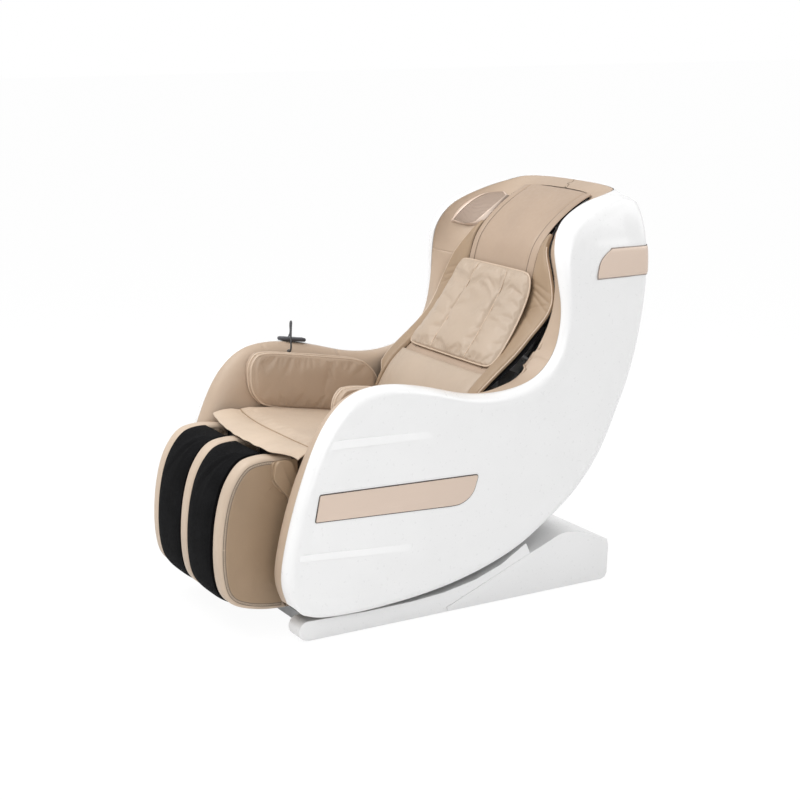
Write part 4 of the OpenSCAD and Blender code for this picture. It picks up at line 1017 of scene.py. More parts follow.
class MakeTrims(bpy.types.Operator):
    """Satin strips on the sides with their lips, and the band round the hood"""
    bl_idname = "chair.trims"
    bl_label = "Trims"
    bl_options = {"REGISTER", "UNDO"}

    def execute(self, context):
        cut = outline(TRIM, [2.5, 3, 8, 10, 12, 14, 22], step=6)
        strip = slab(cut, 353.0, 358.1, round_r=0.9, rings=3)
        side = outward(cut)
        lip_line = cut + side * 4.2
        lip = rod(place(353.8, lip_line[:, 0], lip_line[:, 1]), 1.9, sides=8, close=True)
        dark = slab(cut + side * 2.3, 353.0, 356.0, round_r=0.3, rings=1)
        pair("side_strip_{}", strip, "shell", "rose_satin", "rose_trim", ("side_trims",))
        pair("strip_lip_{}", lip, "shell", "white_moulding", "white_shell")
        pair("strip_gap_{}", dark, "shell", "gap_shadow", "grey_plastic")
        s, z = lattice(0, 0, u=np.linspace(0, 1, 301), v=np.linspace(BAND_Z, BAND_TOP, 17))
        face = band_ring(s, z)
        normal = facing(face, unit(face - [0, 400, 890]))
        proud_by = (2.9 - 1.4 * np.abs(2 * (z - BAND_Z) / (BAND_TOP - BAND_Z) - 1) ** 14)[..., None]
        hold = np.clip((560 - face[..., 1]) / 13, 0, 2.6)[..., None] - 0.7
        s, z = lattice(0, 0, u=np.linspace(0, 1, 301), v=np.linspace(0, 1, 17))
        edge_z = mix(BAND_Z - 2.6, BAND_TOP + 2.6, z)
        under = band_ring(s, edge_z)
        under[..., 1] -= 2.6 * ((s < 0.02) | (s > 0.98))
        # Painted shadow: a ring in a soft dark tone just beyond the band's edges stands for the shadow
        # round it.
        make("band_shadow_ring", closed(under + normal * 1.1, under - normal * (hold - 0.2), rings=1),
             "shell", "soft_gap_shadow", "grey_plastic")
        make("hood_strip", closed(face + normal * proud_by, face - normal * hold, rings=3, swell=0.5),
             "shell", "rose_satin", "rose_trim", ("hood_band",))
        return {"FINISHED"}


# ---- linings -----------------------------------------------------------------

def lining_body(face, s, run, press, middle, wave, height, seed, wide):
    """A lining as a closed body, pressed in at its seams, thin at the rim and 9 mm thick inside.

    It faces the middle point, and its uneven waves fade as sin(pi s)^2 towards both edges.
    """
    normal = facing(face, middle - face)
    uneven = height * ripple(run, s * wide, seed, wave, 2) * np.sin(np.pi * s) ** 2
    near = face + normal * (uneven - press)[..., None]
    back = mix(0.4, 9.4, np.minimum(1, s * 2.2))[..., None]
    uv = np.stack([np.broadcast_to(run, s.shape), s * wide], -1)
    return closed(near, face - normal * back, rings=2, swell=0.6, uv=uv), near


class MakeArmLinings(bpy.types.Operator):
    """Leather over the arms and down into the tub, with a sewn joint beside the handset"""
    bl_idname = "chair.arm_linings"
    bl_label = "Arm linings"
    bl_options = {"REGISTER", "UNDO"}

    def execute(self, context):
        depth = mm(context.scene.chair_sizes.seam)
        t, s = lattice(0, 0, u=np.linspace(0, HOOD_SEAM, 261), v=np.linspace(0, 1, 41) ** 1.15)
        run = travelled(crest(t[:, 0]))
        press = sum((d * groove(run, np.interp(at, t[:, 0], run[:, 0]), 2.4) for at, d in (
            (0.30, depth), (0.405, depth), (0.56, depth * 0.8))), 0 * s)
        body = lining_body(lining(t, s), s, run, press, [0, 0, 650], 260, 0.5, 4, 130)[0]
        # Painted shade: the arm linings take a darker copy of the hide, as if shaded inside the tub.
        for piece in pair("arm_leather_{}", body, "shell", "shaded_lining_hide", "beige_leather",
                          ("arm_lining_{}",), smooth=180):
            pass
        return {"FINISHED"}


class MakeHoodLining(bpy.types.Operator):
    """Leather inside the hood in one sweep from side to side, with its top seam"""
    bl_idname = "chair.hood_lining"
    bl_label = "Hood lining"
    bl_options = {"REGISTER", "UNDO"}

    def execute(self, context):
        half = np.linspace(HOOD_SEAM + 0.0003, 1, 91)
        s = np.linspace(0, 1, 37) ** 1.1
        t, s = lattice(0, 0, u=half, v=s)
        one = lining(t, s)
        face = np.vstack([one, (one * [-1, 1, 1])[-2::-1]])
        s = np.vstack([s, s[-2::-1]])
        run = travelled(face[:, 0])
        seam_at = np.interp(4.0, -face[:, 0, 0], run[:, 0]) - 30 * s
        press = mm(context.scene.chair_sizes.seam) * groove(run, seam_at, 2.6) * ease(s / 0.04)
        body, near = lining_body(face, s, run, press, [0, 100, 500], 300, 0.7, 9, 120)
        sewn = near[np.abs(run - seam_at).argmin(0), np.arange(s.shape[1])][1:-2]
        make("hood_thread", rod(sewn + [0, -0.5, -0.1], 0.9, sides=6), "shell", "thread",
             "beige_leather")
        # Painted shade: the hood's lining takes a darker copy of the hide, as if shaded by the hood.
        piece = make("hood_leather", body, "shell", "shaded_lining_hide", "beige_leather",
                     ("hood_lining",), smooth=180)
        return {"FINISHED"}


# Upper and lower edge of a speaker's leaf as (station, share) of the lining.
POD_TOP = [[14.26, 0.24], [14.85, 0.19], [15.5, 0.17], [15.84, 0.25], [16.12, 0.7]]
POD_FOOT = [[14.27, 0.6], [14.4, 0.9], [14.72, 0.965], [15.35, 0.98], [16.05, 0.93]]
pod_top, pod_foot = line(POD_TOP, blur=0.1), line(POD_FOOT, blur=0.1)


def pod_leaf(u, v):
    """Leaf in the hood's corner: u along it from its tip, v across from its upper edge."""
    p = mix(pod_top(u), pod_foot(u), v[..., None])
    return lining(p[..., 0] / LAST, p[..., 1])


class MakeSpeakers(bpy.types.Operator):
    """Leaf-shaped speaker pods with a bevelled frame and a perforated grille"""
    bl_idname = "chair.speakers"
    bl_label = "Speakers"
    bl_options = {"REGISTER", "UNDO"}

    def execute(self, context):
        u, v = lattice(80, 40)
        leaf = pod_leaf(u, v)
        normal = facing(leaf, [0, 100, 700] - leaf)
        rim = np.minimum(np.minimum(u / 0.07, (1 - u) / 0.07), np.minimum(v / 0.11, (1 - v) / 0.11))
        lift = (0.95 + 6.5 * ease(rim / 0.45) + 3.4 * ease((rim - 0.35) / 0.5)
                - 2.4 * ease((rim - 0.95) / 0.15))
        frame_part = closed(leaf + normal * lift[..., None], leaf + normal * 0.95, rings=2, swell=0.3)
        gu, gv = mix(0.07, 0.93, u), mix(0.11, 0.89, v)
        mesh_face = pod_leaf(gu, gv)
        top = mesh_face + normal * (9.6 + 2.6 * crown(u, v, 2.2))[..., None]
        uv = np.stack([gu * 190, (gv - 0.5) * 90], -1)
        grille = closed(top, mesh_face + normal * 7.4, rings=1, swell=0.2, uv=uv)
        pair("speaker_frame_{}", frame_part, "shell", "rose_satin", "beige_leather",
             ("speaker_pods",))
        pair("speaker_mesh_{}", grille, "shell", "grille", "rose_trim", ("speaker_grilles",))
        return {"FINISHED"}


# ---- back --------------------------------------------------------------------

class MakeBackMesh(bpy.types.Operator):
    """Black stretch fabric behind the back's cushions"""
    bl_idname = "chair.back_mesh"
    bl_label = "Back mesh"
    bl_options = {"REGISTER", "UNDO"}

    def execute(self, context):
        wide = line([[248, 0], [268, 0], [272, 0], [268, 0], [238, 0], [184, 0], [154, 0]])
        u, v = lattice(60, 90)
        half = wide(v)[..., 0]
        t = mix(0.15, 0.8, v)
        sag = 1.5 * np.sin(np.pi * u) * np.sin(np.pi * v)
        x = (1 - 2 * u) * half
        near, far = on_back(x, t, -7 - sag), on_back(x, t, -8.6 - sag)
        uv = cloth_map(u, v, 540, 620)
        piece = make("back_net", closed(near, far, rings=1, uv=uv), "shell", "black_mesh",
                     "black_fabric", ("back_mesh",), smooth=180)
        return {"FINISHED"}


class MakeBackCover(bpy.types.Operator):
    """Leather strip down the back from the hood, and the lumbar pad at its foot"""
    bl_idname = "chair.back_cover"
    bl_label = "Back cover"
    bl_options = {"REGISTER", "UNDO"}

    def execute(self, context):
        depth = mm(context.scene.chair_sizes.seam)
        u, v = lattice(84, 150)
        across = 1 - 2 * u
        t = mix(0.256, 0.998 - 0.02 * np.abs(across) ** 2.5, v)
        half = cover_half(t)
        free = ease((t - 0.3) / 0.08)
        low = 3.5 * crown(u, v, 7)
        low = low + 1.6 * ripple(across * 150, v * 600, 21, 330, 2) * crown(u, v, 2)
        press = depth * groove(np.abs(across * half), CURTAIN_SEAM, 2.6) * ease(v / 0.03)
        tuck = (ease((v - 0.9) / 0.1) ** 1.5)[..., None] * [0, 5, 5]
        near = on_back(across * half, t, mix(-5.4, 1.8 + low - press, free)) + tuck
        far = on_back(across * half, t, mix(-6.6, -4.4, free)) + tuck
        uv = cloth_map(u, v, 310, 600)
        # Painted shade: the curtain takes a darker copy of the hide, as if in the hood's shade.
        piece = make("back_leather", closed(near, far, rings=4, uv=uv),
                     "shell", "shaded_curtain_hide", "beige_leather", ("back_curtain",), smooth=180)
        rows = [near[np.abs(across[:, 0] * 154 - at).argmin(), 4:-6]
                for at in (CURTAIN_SEAM, -CURTAIN_SEAM)]
        make("curtain_thread", joined(*(rod(row + [0, -0.4, 0.2], 0.9, sides=6) for row in rows)),
             "shell", "thread", "beige_leather")
        # Painted shade: a thin black rod along each edge of the curtain stands for the dark line of
        # shade between the curtain and the lining.
        run = np.linspace(0.5, 0.975, 120)
        edge = on_back(cover_half(run) + 2.8, run, -1.2)
        make("curtain_shade_line", joined(*(rod(edge * [side, 1, 1], 2.1, sides=8) for side in (1, -1))),
             "shell", "black_mesh", "black_fabric")
        u, v = lattice(80, 36)
        across = 1 - 2 * u
        t = mix(0.03, 0.25, v)
        x = across * LUMBAR_HALF
        welt = depth * groove(np.abs(x), LUMBAR_SEAM, 2.4)
        lift = 2 + 8 * crown(u, v, 5) + 1.1 * ripple(across * 200, v * 130, 5, 120, 2) * crown(u, v, 2)
        near = on_back(x, t, lift - welt * crown(u, v, 4))
        body = closed(near, on_back(x, t, -4.8 + 0 * u), rings=4,
                      uv=cloth_map(u, v, 416, 130))
        # Painted shade: the lumbar pad takes a darker copy of the hide.
        piece = make("lumbar_cushion", body, "shell", "shaded_cushion_hide", "beige_leather",
                     ("lumbar_pad",), smooth=180)
        return {"FINISHED"}


class MakeSideWings(bpy.types.Operator):
    """Loose leather wings beside the back, creased where they turn into the hood"""
    bl_idname = "chair.side_wings"
    bl_label = "Side wings"
    bl_options = {"REGISTER", "UNDO"}

    def execute(self, context):
        u, v = lattice(40, 190)
        t = mix(0.055, 0.77, v)
        z = cover(t)[..., 1]
        outer = lining_edge(z) - 0.6 - 24 * ease((796 - z) / 110)
        outer = mix(np.minimum(outer, 222), outer, ease((t - 0.13) / 0.05))
        within = np.maximum(cover_half(t) + mix(3.2, 6.5, ease((t - 0.3) / 0.1)),
                            mix(LUMBAR_HALF + 3, 0, t > 0.26))
        crease = sum((d * groove(v + tilt * (u - 0.5), at, w) for d, at, tilt, w in (
            (2.6, 0.70, 0.07, 0.008), (2.2, 0.665, 0.10, 0.007), (1.8, 0.74, 0.05, 0.009),
            (1.6, 0.63, -0.06, 0.008), (1.2, 0.56, 0.08, 0.01), (1.2, 0.38, 0.05, 0.012))), 0 * u)
        lift = (2 + 8 * crown(u, v, 3) - crease * crown(u, v, 3)
                + 1.3 * ripple(u * 60, v * 560, 13, 80, 2) * crown(u, v, 2))
        x = mix(within, outer, u)
        near, far = on_back(x, t, lift), on_back(x, t, -4.6 + 0 * u)
        body = closed(near, far, rings=4, uv=cloth_map(u, v, 60, 560))
        edge = rod(near[-1, 20:-12] + [1.0, -1.0, 0], 1.9, sides=10)
        # Painted shade: the wings take the darker copy of the hide, as if in the shadow beside the
        # pillow.
        for piece in pair("back_wing_{}", body, "shell", "shade_darkened_hide", "beige_leather",
                          ("side_wings",), smooth=180):
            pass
        pair("wing_piping_{}", edge, "shell", "beige_piping", "beige_leather")
        return {"FINISHED"}


def pillow_at(u, v):
    """Middle sheet of the pillow: its corners are pulled in, x by 6% and v by 6% at each end."""
    across, up = 1 - 2 * u, 2 * v - 1
    x = across * mix(212, 172, np.maximum(0, v) ** 1.6) * (1 - 0.06 * np.abs(up) ** 9)
    p = pillow_line(0.5 + up / 2 * (1 - 0.05 * np.abs(across) ** 12))
    return place(x, p[..., 0], p[..., 1])


class MakeBackPillow(bpy.types.Operator):
    """Back pillow in three sewn panels with piping all round"""
    bl_idname = "chair.back_pillow"
    bl_label = "Back pillow"
    bl_options = {"REGISTER", "UNDO"}

    def execute(self, context):
        sizes = context.scene.chair_sizes
        height = mm(sizes.pillow_crown)
        u, v = lattice(128, 88)
        sheet = pillow_at(u, v)
        normal = facing(sheet, [0, -1, 0])
        seams = sum(groove(u, at, 0.022) for at in PILLOW_SEAMS)
        crumple = 1.5 * ripple(u * 400, v * 280, 17, 90, 3) * (0.25 + 0.75 * (1 - crown(u, v, 6)))
        lift = 2 + height * crown(u, v, 2.6) * (1 - 0.34 * seams) + crumple * crown(u, v, 3)
        near = sheet + normal * lift[..., None]
        far = sheet - normal * (2 + 3.5 * crown(u, v, 4))[..., None]
        uv = cloth_map(u, v, 400, 280)
        # Painted shade: the pillow takes a darker copy of the hide, as if in the hood's shade.
        piece = make("pillow_cushion", closed(near, far, rings=3, uv=uv), "pillow", "shaded_cushion_hide",
                     "beige_leather", ("pillow",), smooth=180)
        free = (np.all([np.abs(u - at) > 0.006 for at in PILLOW_SEAMS], axis=0) & (u > 0.012)
                & (u < 0.988) & (v > 0.015) & (v < 0.985))
        puff(piece, free, pressure=3.5, cap=6.0, slack=0.03)
        border = rim_of(sheet)
        inside = np.vstack([sheet[:-1, 1], sheet[-2, :-1], sheet[:0:-1, -2], sheet[1, :0:-1]])
        ring = border + unit(border - inside) * 1.0 - [0, 0.6, 0]
        pipe = rod(softened(ring), mm(sizes.piping), sides=12, close=True)
        make("pillow_piping", pipe, "pillow", "beige_piping", "beige_leather")
        rows, highlight_cords = [], []
        for at in PILLOW_SEAMS:
            k = int(round(at * 128))
            beside = near[k, 3:-3] + normal[k, 3:-3] * 0.2 - [2.6, 0, 0]
            rows.append(stitches(beside, normal[k, 3:-3]))
            # Painted highlight: a pale cord laid along each sewn channel stands for the light line
            # along it.
            highlight_cords.append(rod(near[k, 2:-2] + normal[k, 2:-2] * 0.4, 1.5, sides=10))
        make("pillow_channel_highlights", joined(*highlight_cords), "pillow", "beige_piping", "beige_leather")
        make("pillow_thread", joined(*rows), "pillow", "thread", "beige_leather")
        return {"FINISHED"}


# ---- seat --------------------------------------------------------------------

def front_bow(across, reach):
    """How far the seat's front seam falls back towards its two ends, more on the right one."""
    return 2 + reach * np.maximum(0, -across) ** 2.2 + 6 * np.maximum(0, across) ** 2


class MakeSeat(bpy.types.Operator):
    """Seat cushion, puckered behind its front seam"""
    bl_idname = "chair.seat"
    bl_label = "Seat"
    bl_options = {"REGISTER", "UNDO"}

    def execute(self, context):
        u, v = lattice(110, 100)
        across = 1 - 2 * u
        x, p = across * SEAT_HALF, seat_line(v)
        pucker = 1.6 * np.exp(-v * 9) * ripple(x + 40 * v, v * 60, 31, 62, 2) * ease(v / 0.02)
        lift = (5.5 * crown(u, v, 6) + pucker * crown(u, v, 3)
                + 1.2 * ripple(x, v * 420, 33, 210, 2) * crown(u, v, 2))
        y = p[..., 0] + front_bow(across, 30) * (1 - v) ** 3
        near, far = place(x, y, p[..., 1] + lift), place(x, y, 396.6)
        body = closed(near, far, rings=10, swell=0.0, uv=cloth_map(u, v, 504, 430))
        piece = make("seat_cushion", body, "shell", "beige_hide", "beige_leather", ("seat_pad",),
                     smooth=60)
        free = (u > 0.02) & (u < 0.98) & (v > 0.03) & (v < 0.97)
        puff(piece, free, pressure=2.0, cap=4.0, slack=0.02)
        return {"FINISHED"}


class MakeSeatApron(bpy.types.Operator):
    """Leather flap from the seat's front seam over the top of the leg rest"""
    bl_idname = "chair.seat_apron"
    bl_label = "Seat apron"
    bl_options = {"REGISTER", "UNDO"}

    def execute(self, context):
        u, v = lattice(150, 34)
        across = 1 - 2 * u
        p = apron_line(1 - v)
        wide = across * np.where(across > 0, mix(257, 251, v), mix(228, 240, v))
        hang = np.clip((wide - 206) / 51, 0, 1) ** 1.5 * (1 - v) ** 0.8
        bow = (26 * across ** 2 - 18 * across + 46 * ease((wide - 206) / 51)) * (1 - v)
        pucker = 1.3 * ripple(wide, v * 90, 43, 26, 2) * groove(v, 1, 0.3) * ease((1 - v) / 0.05)
        waves = (1.9 * ripple(across * 228, v * 50, 41, 60, 2) * (0.3 + 0.7 * (1 - v))
                 * ease((1 - v) / 0.1 + 0.2))
        y = p[..., 0] + bow + front_bow(across, 28) * v ** 2
        z = p[..., 1] + waves + pucker + 1.0 - 17 * hang
        near, far = place(wide, y, z + 1.6), place(wide, y, z - 1.6)
        uv = cloth_map(u, v, 456, 105)
        # Painted light: the apron takes a paler copy of the hide, as if lit from above.
        piece = make("apron_leather", closed(near, far, rings=3, uv=uv), "shell", "lit_apron_hide",
                     "beige_leather", ("seat_apron",), smooth=180)
        piece.parent = None
        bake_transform(piece)
        seam = near[:, -1] + [0, 1.5, 0.4]
        make("apron_piping", rod(seam, 1.7, sides=10), "shell", "shade_darkened_hide", "beige_leather")
        return {"FINISHED"}


# ---- arm pads ----------------------------------------------------------------

def arm_pad_face(u, v):
    """Side view of an arm pad: u from its front to its rear, v up; its corners are pulled in."""
    round_v = 0.5 + (v - 0.5) * (1 - 0.12 * np.abs(2 * u - 1) ** 7)
    front = -300 + 28 * np.abs(2 * v - 1.05) ** 3
    y = mix(front, 104 - 48 * v ** 4, u)
    top, foot = 626 - 0.172 * (y + 265), np.maximum(437.5, 474 - 0.165 * (y + 272))
    return y, mix(foot, top, round_v)


def arm_wall(y, z):
    """Half distance between the two linings at a point of an arm's inner wall."""
    t = np.where(y < -170, mix(4, 6, (y + 376) / 176), mix(6, 9, (y + 200) / 350)) / LAST
    c, v = crest(t), inner(t)
    rise = c[..., 2] - v[..., 2]
    s0 = np.clip((c[..., 2] - z) / rise, 0.001, 1) ** 0.625
    s = np.clip((c[..., 2] + 8 * np.sin(np.pi * s0) - z) / rise, 0.001, 1) ** 0.625
    return mix(c[..., 0], v[..., 0], 1 - (1 - s) ** 2.6)


class MakeArmPads(bpy.types.Operator):
    """Airbag pads on the arms' inner walls, with doubled piping at their front"""
    bl_idname = "chair.arm_pads"
    bl_label = "Arm pads"
    bl_options = {"REGISTER", "UNDO"}

    def execute(self, context):
        radius = mm(context.scene.chair_sizes.piping)
        u, v = lattice(110, 56)
        y, z = arm_pad_face(u, v)
        x = 234 - 11 * crown(u, v, 4) - 0.5 * ripple(y, z, 51, 120, 2) * crown(u, v, 2)
        near = place(x, y, z)
        far = place(np.minimum(272, arm_wall(y, z)) - 1.5, y, z)
        body = closed(near, far, rings=5, swell=0.12, uv=cloth_map(u, v, 380, 150))
        free = (u > 0.03) & (u < 0.97) & (v > 0.05) & (v < 0.95)
        # Painted shade: the arm pads take a darker copy of the hide.
        for piece in pair("arm_cushion_{}", body, "shell", "shaded_arm_pad_hide", "beige_leather",
                          ("arm_pad_{}",), smooth=180):
            puff(piece, free, pressure=2.5, cap=4.0, slack=0.02)
        loop = softened(rim_of(near))
        welt = loop + unit((loop - loop.mean(0)) * [0, 1, 1]) * 2.4
        welt[:, 0] = 249.5
        for name, ring, r in (("arm_piping_{}", loop + [0.4, 0, 0], radius * 1.15),
                              ("arm_welt_{}", welt, radius)):
            pair(name, rod(ring, r, close=True), "shell", "beige_piping", "beige_leather")
        return {"FINISHED"}


# ---- leg rest ----------------------------------------------------------------

def leg_loop(n=150):
    """Side outline of the leg rest as a closed loop, with its straight back."""
    front = leg_line(np.linspace(0, 1, n))
    first, last = np.array([LEG_BACK, front[0, 1]]), np.array([LEG_BACK, front[-1, 1]])
    back = mix(last, first, np.linspace(0, 1, 60)[:, None])
    loop = np.vstack([front, back])
    return even(np.c_[loop, np.zeros(len(loop))], 4.0, close=True)[0][:, :2]


def wall_body(x0, x1, grow=0.0):
    """Padded wall: rings of the outline, drawn in towards its core to round and fill the sides.

    Ring (x, inset) moves each outline point inwards; past the sewn lines the ring shrinks onto
    a line down the middle. The two grooves on each side are the doubled seam.
    """
    P = leg_loop()
    side = outward(P)
    core = np.stack([np.full(len(P), -470.0), 262 + (P[:, 1] - 262) * 0.62], 1)
    half, mid = (x1 - x0) / 2, (x0 + x1) / 2
    levels = [(half + 0.6, 30), (half + 0.7, 22), (half + 0.3, 18.8), (half - 1.8, 17.4),
              (half - 0.1, 16.2), (half - 0.1, 12.6), (half - 2.0, 11.4), (half - 0.4, 10.0),
              (half - 1.2, 7), (half - 3, 4.4), (half - 5.4, 2.4), (half - 9, 0.8),
              (half * 0.45, 0.0)]
    levels += [(-x, d) for x, d in levels[::-1]]
    rings = []
    for x, inset in levels:
        ring = P + side * (grow - inset)
        ring[:, 0] = np.minimum(ring[:, 0], LEG_BACK)
        rings.append(place(mid + x, ring[:, 0], ring[:, 1]))
    caps = []
    for sign, ring in ((1, rings[0]), (-1, rings[-1])):
        fill = []
        for f in (0.75, 0.5, 0.3, 0.12, 0.0):
            x = mid + sign * (half + 0.7 + 1.6 * (1 - f ** 2))
            fill.append(place(x, *mix(core, ring[:, 1:], f).T))
        caps.append(fill)
    stack = caps[0][::-1] + rings + caps[1]
    row, column = np.divmod(np.arange(len(stack) * len(P)), len(P))
    return np.vstack(stack), tube(len(stack), len(P), caps=False), np.c_[column * 4.0, row * 6.0]


class MakeLegWalls(bpy.types.Operator):
    """The leg rest's three padded walls with doubled seams on their sides"""
    bl_idname = "chair.leg_walls"
    bl_label = "Leg rest walls"
    bl_options = {"REGISTER", "UNDO"}

    def execute(self, context):
        for name, x0, x1, grow in (("left", WALL_IN, WALL_OUT, 0),
                                   ("center", -MIDDLE_WALL, MIDDLE_WALL, 4),
                                   ("right", -WALL_OUT, -WALL_IN, 0)):
            piece = make("leg_wall_" + name, wall_body(x0, x1, grow), "legrest", "beige_hide",
                         "beige_leather", ("calf_wall_" + name,), smooth=180, seal=True)
            mesh = piece.data
            # Painted shade: the walls' side faces inside the seams take the darker copy of the hide, as
            # if turned away from the light.
            mesh.materials.append(finish("shade_darkened_hide"))
            count = len(mesh.polygons)
            at, turned = np.empty(count * 3), np.empty(count * 3)
            mesh.polygons.foreach_get("center", at)
            mesh.polygons.foreach_get("normal", turned)
            at, turned = at.reshape(-1, 3) * 1000, turned.reshape(-1, 3)
            inset = np.min(np.linalg.norm(at[:, None, 1:] - leg_loop()[None], axis=-1), axis=1)
            shade_painted_faces = (np.abs(turned[:, 0]) > 0.3) & (inset > 17.6 - grow)
            mesh.polygons.foreach_set("material_index", shade_painted_faces.astype(np.int32))
        P = leg_loop()
        side = outward(P)
        seen = P[:, 0] < -440
        rows = []
        ring = (P - side * 14.2)[seen]
        start = int(np.argmax(np.linalg.norm(np.diff(ring, axis=0), axis=1))) + 1
        for x, out in ((WALL_OUT, 1), (WALL_IN, -1), (-WALL_IN, 1), (-WALL_OUT, -1)):
            sewn = np.roll(ring, -start, 0)
            rows.append(stitches(place(x + out * 0.2, *sewn.T), np.array([out, 0, 0]), radius=0.7))
            for inset in (17.4, 11.4):
                sewn = np.roll((P - side * inset)[seen], -start, 0)
                rows.append(rod(place(x - out * 1.1, *sewn.T), 1.5, sides=6))
        make("leg_wall_thread", joined(*rows), "legrest", "thread", "beige_leather")
        flap = slab(outline([[-391, 322], [-391, 450], [-464, 450], [-464, 396]], [6, 10, 14, 14]),
                    213.6, 221.5, round_r=2.6)
        sleeve = slab(outline([[-380, 298], [-380, 342], [-414, 454], [-456, 454], [-467, 408]],
                              [6, 12, 16, 16, 16]), 221.8, 234.6, round_r=2.6)
        # Painted shade: the flap over the hinge and the sleeve round the ear take the darker copy of
        # the hide, like the walls' shaded sides.
        pair("hinge_flap_{}", flap, "legrest", "shade_darkened_hide", "beige_leather")
        pair("hinge_sleeve_{}", sleeve, "shell", "shade_darkened_hide", "beige_leather")
        return {"FINISHED"}


class MakeCalfPads(bpy.types.Operator):
    """Black knitted pads between the walls, with soft folds over their upper bend"""
    bl_idname = "chair.calf_pads"
    bl_label = "Calf pads"
    bl_options = {"REGISTER", "UNDO"}

    def execute(self, context):
        u, v = lattice(150, 60)
        middle_x, wall_x = MIDDLE_WALL + 0.4, WALL_IN - 0.4
        for name, x0, x1 in (("left", middle_x, wall_x), ("right", -wall_x, -middle_x)):
            p = leg_line(mix(0.14, 0.9, u))
            sheet = place(mix(x0, x1, v), p[..., 0], p[..., 1])
            normal = facing(sheet, [0, -1, 0])
            lift = (9.5 * np.maximum(0, np.sin(np.pi * u)) ** 0.5
                    * (1 - 0.55 * np.abs(2 * v - 1) ** 3.2) - 1)
            slant = v * 0.55 + u * 1.6
            folds = groove(u, 0.22, 0.16) * (
                1.5 * groove(slant, 0.62, 0.045) - 1.4 * groove(slant, 0.71, 0.03)
                + 1.2 * groove(v * 0.8 + u * 1.2, 0.86, 0.05))
            lift = lift + (folds + 0.7 * ripple(v * 141, u * 600, 61, 150, 2)) * crown(u, v, 3)
            near, far = sheet + normal * lift[..., None], sheet - normal * 25.5
            body = closed(near, far, rings=2, swell=0.0, uv=cloth_map(v, u, 141, 620))
            piece = make("calf_cushion_" + name, body, "legrest", "black_knit", "black_fabric",
                         ("calf_pad_" + name,), smooth=60)
        return {"FINISHED"}


# ---- base and works ----------------------------------------------------------

class MakeBaseCovers(bpy.types.Operator):
    """Moulded covers of the base with rounded edges and a fine joint between them"""
    bl_idname = "chair.base_covers"
    bl_label = "Base covers"
    bl_options = {"REGISTER", "UNDO"}

    def execute(self, context):
        for node, name, wide in (("base_rail_covers", "rail_cover", 0.0022),
                                 ("base_rear_cover", "rear_cover", 0.0016)):
            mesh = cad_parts[node].data.copy()
            mesh.name = name
            work = bmesh.new()
            work.from_mesh(mesh)
            bmesh.ops.remove_doubles(work, verts=work.verts, dist=0.00001)
            bmesh.ops.dissolve_limit(work, angle_limit=np.radians(1.0), verts=work.verts,
                                     edges=work.edges)
            work.to_mesh(mesh)
            work.free()
            mesh.materials.clear()
            mesh.materials.append(finish("white_moulding"))
            obj = bpy.data.objects.new(name, mesh)
            context.scene.collection.objects.link(obj)
            bevel = obj.modifiers.new("edges", "BEVEL")
            bevel.width, bevel.segments, bevel.limit_method = wide, 3, "ANGLE"
            bevel.angle_limit = np.radians(28)
            bevel.use_clamp_overlap = True
            mesh.shade_smooth()
            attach(obj, "base")
            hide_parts(node)
        return {"FINISHED"}


FINISHES = {
    "base_frame": "steel_paint", "base_floor_pan": "steel_paint", "foot_pads": "rubber",
    "control_box": "grey_plastic", "air_pump": "grey_plastic", "power_inlet": "black_plastic",
    "power_switch": "switch_red", "transport_wheel_left": "rubber", "transport_wheel_right": "rubber",
    "track_roller_front": "rubber", "track_roller_rear": "rubber", "recline_motor": "black_plastic",
    "recline_rod": "bright_steel", "shell_frame": "steel_paint", "belly_pan": "white_moulding",
    "seat_pan": "steel_paint", "guide_rails": "bright_steel", "carriage_frame": "steel_paint",
    "drive_axle": "bright_steel", "knead_arm_left": "grey_plastic", "knead_arm_right": "grey_plastic",
    "roller_upper_left": "rubber", "roller_lower_left": "rubber", "roller_upper_right": "rubber",
    "roller_lower_right": "rubber", "legrest_shell": "black_plastic", "legrest_motor": "black_plastic",
    "legrest_rod": "bright_steel"}


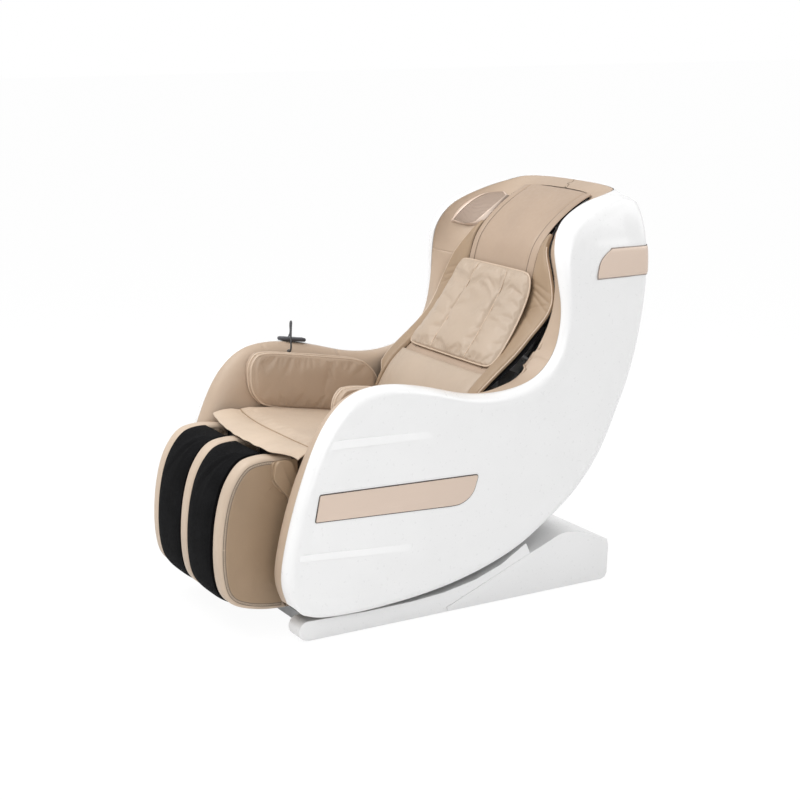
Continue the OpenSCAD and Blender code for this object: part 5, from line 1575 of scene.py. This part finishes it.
class FinishWorks(bpy.types.Operator):
    """Finishes of the frame, drives, rollers, feet and wheels"""
    bl_idname = "chair.works"
    bl_label = "Frame and works"
    bl_options = {"REGISTER", "UNDO"}

    def execute(self, context):
        for node, key in FINISHES.items():
            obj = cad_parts[node]
            obj.data.materials.clear()
            obj.data.materials.append(finish(key))
        return {"FINISHED"}


# ---- add-on ------------------------------------------------------------------

MAKERS = (
    MakeStage, MakeHandsetCord, MakeHandset, MakeBackPillow, MakeSeat, MakeArmPads,
    MakeSideShells, MakeBackShell, MakeTrims, MakeArmLinings, MakeHoodLining, MakeSpeakers,
    MakeBackMesh, MakeBackCover, MakeSideWings, MakeSeatApron, MakeLegWalls, MakeCalfPads,
    MakeBaseCovers, FinishWorks)


class ChairPanel(bpy.types.Panel):
    """Makers and sizes of the massage chair"""
    bl_idname = "VIEW3D_PT_chair"
    bl_label = "Massage chair"
    bl_space_type = "VIEW_3D"
    bl_region_type = "UI"
    bl_category = "Chair"

    def draw(self, context):
        for maker in MAKERS:
            self.layout.operator(maker.bl_idname)
        for group in ("chair_colours", "chair_sizes", "chair_light"):
            props = getattr(context.scene, group)
            for key in props.bl_rna.properties.keys():
                if key not in ("rna_type", "name"):
                    self.layout.prop(props, key)


CLASSES = (ChairColours, ChairSizes, StudioLight) + MAKERS + (ChairPanel,)


def register():
    """Registers the classes and the scene's property groups."""
    for cls in CLASSES:
        bpy.utils.register_class(cls)
    bpy.types.Scene.chair_colours = PointerProperty(type=ChairColours)
    bpy.types.Scene.chair_sizes = PointerProperty(type=ChairSizes)
    bpy.types.Scene.chair_light = PointerProperty(type=StudioLight)


def unregister():
    """Removes what register() added."""
    for name in ("chair_colours", "chair_sizes", "chair_light"):
        delattr(bpy.types.Scene, name)
    for cls in reversed(CLASSES):
        bpy.utils.unregister_class(cls)


def main():
    """Registers the add-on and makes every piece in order."""
    register()
    for maker in MAKERS:
        group, name = maker.bl_idname.split(".")
        if getattr(getattr(bpy.ops, group), name)() != {"FINISHED"}:
            raise RuntimeError(maker.bl_label + " was not made")


if __name__ == "__main__":
    main()
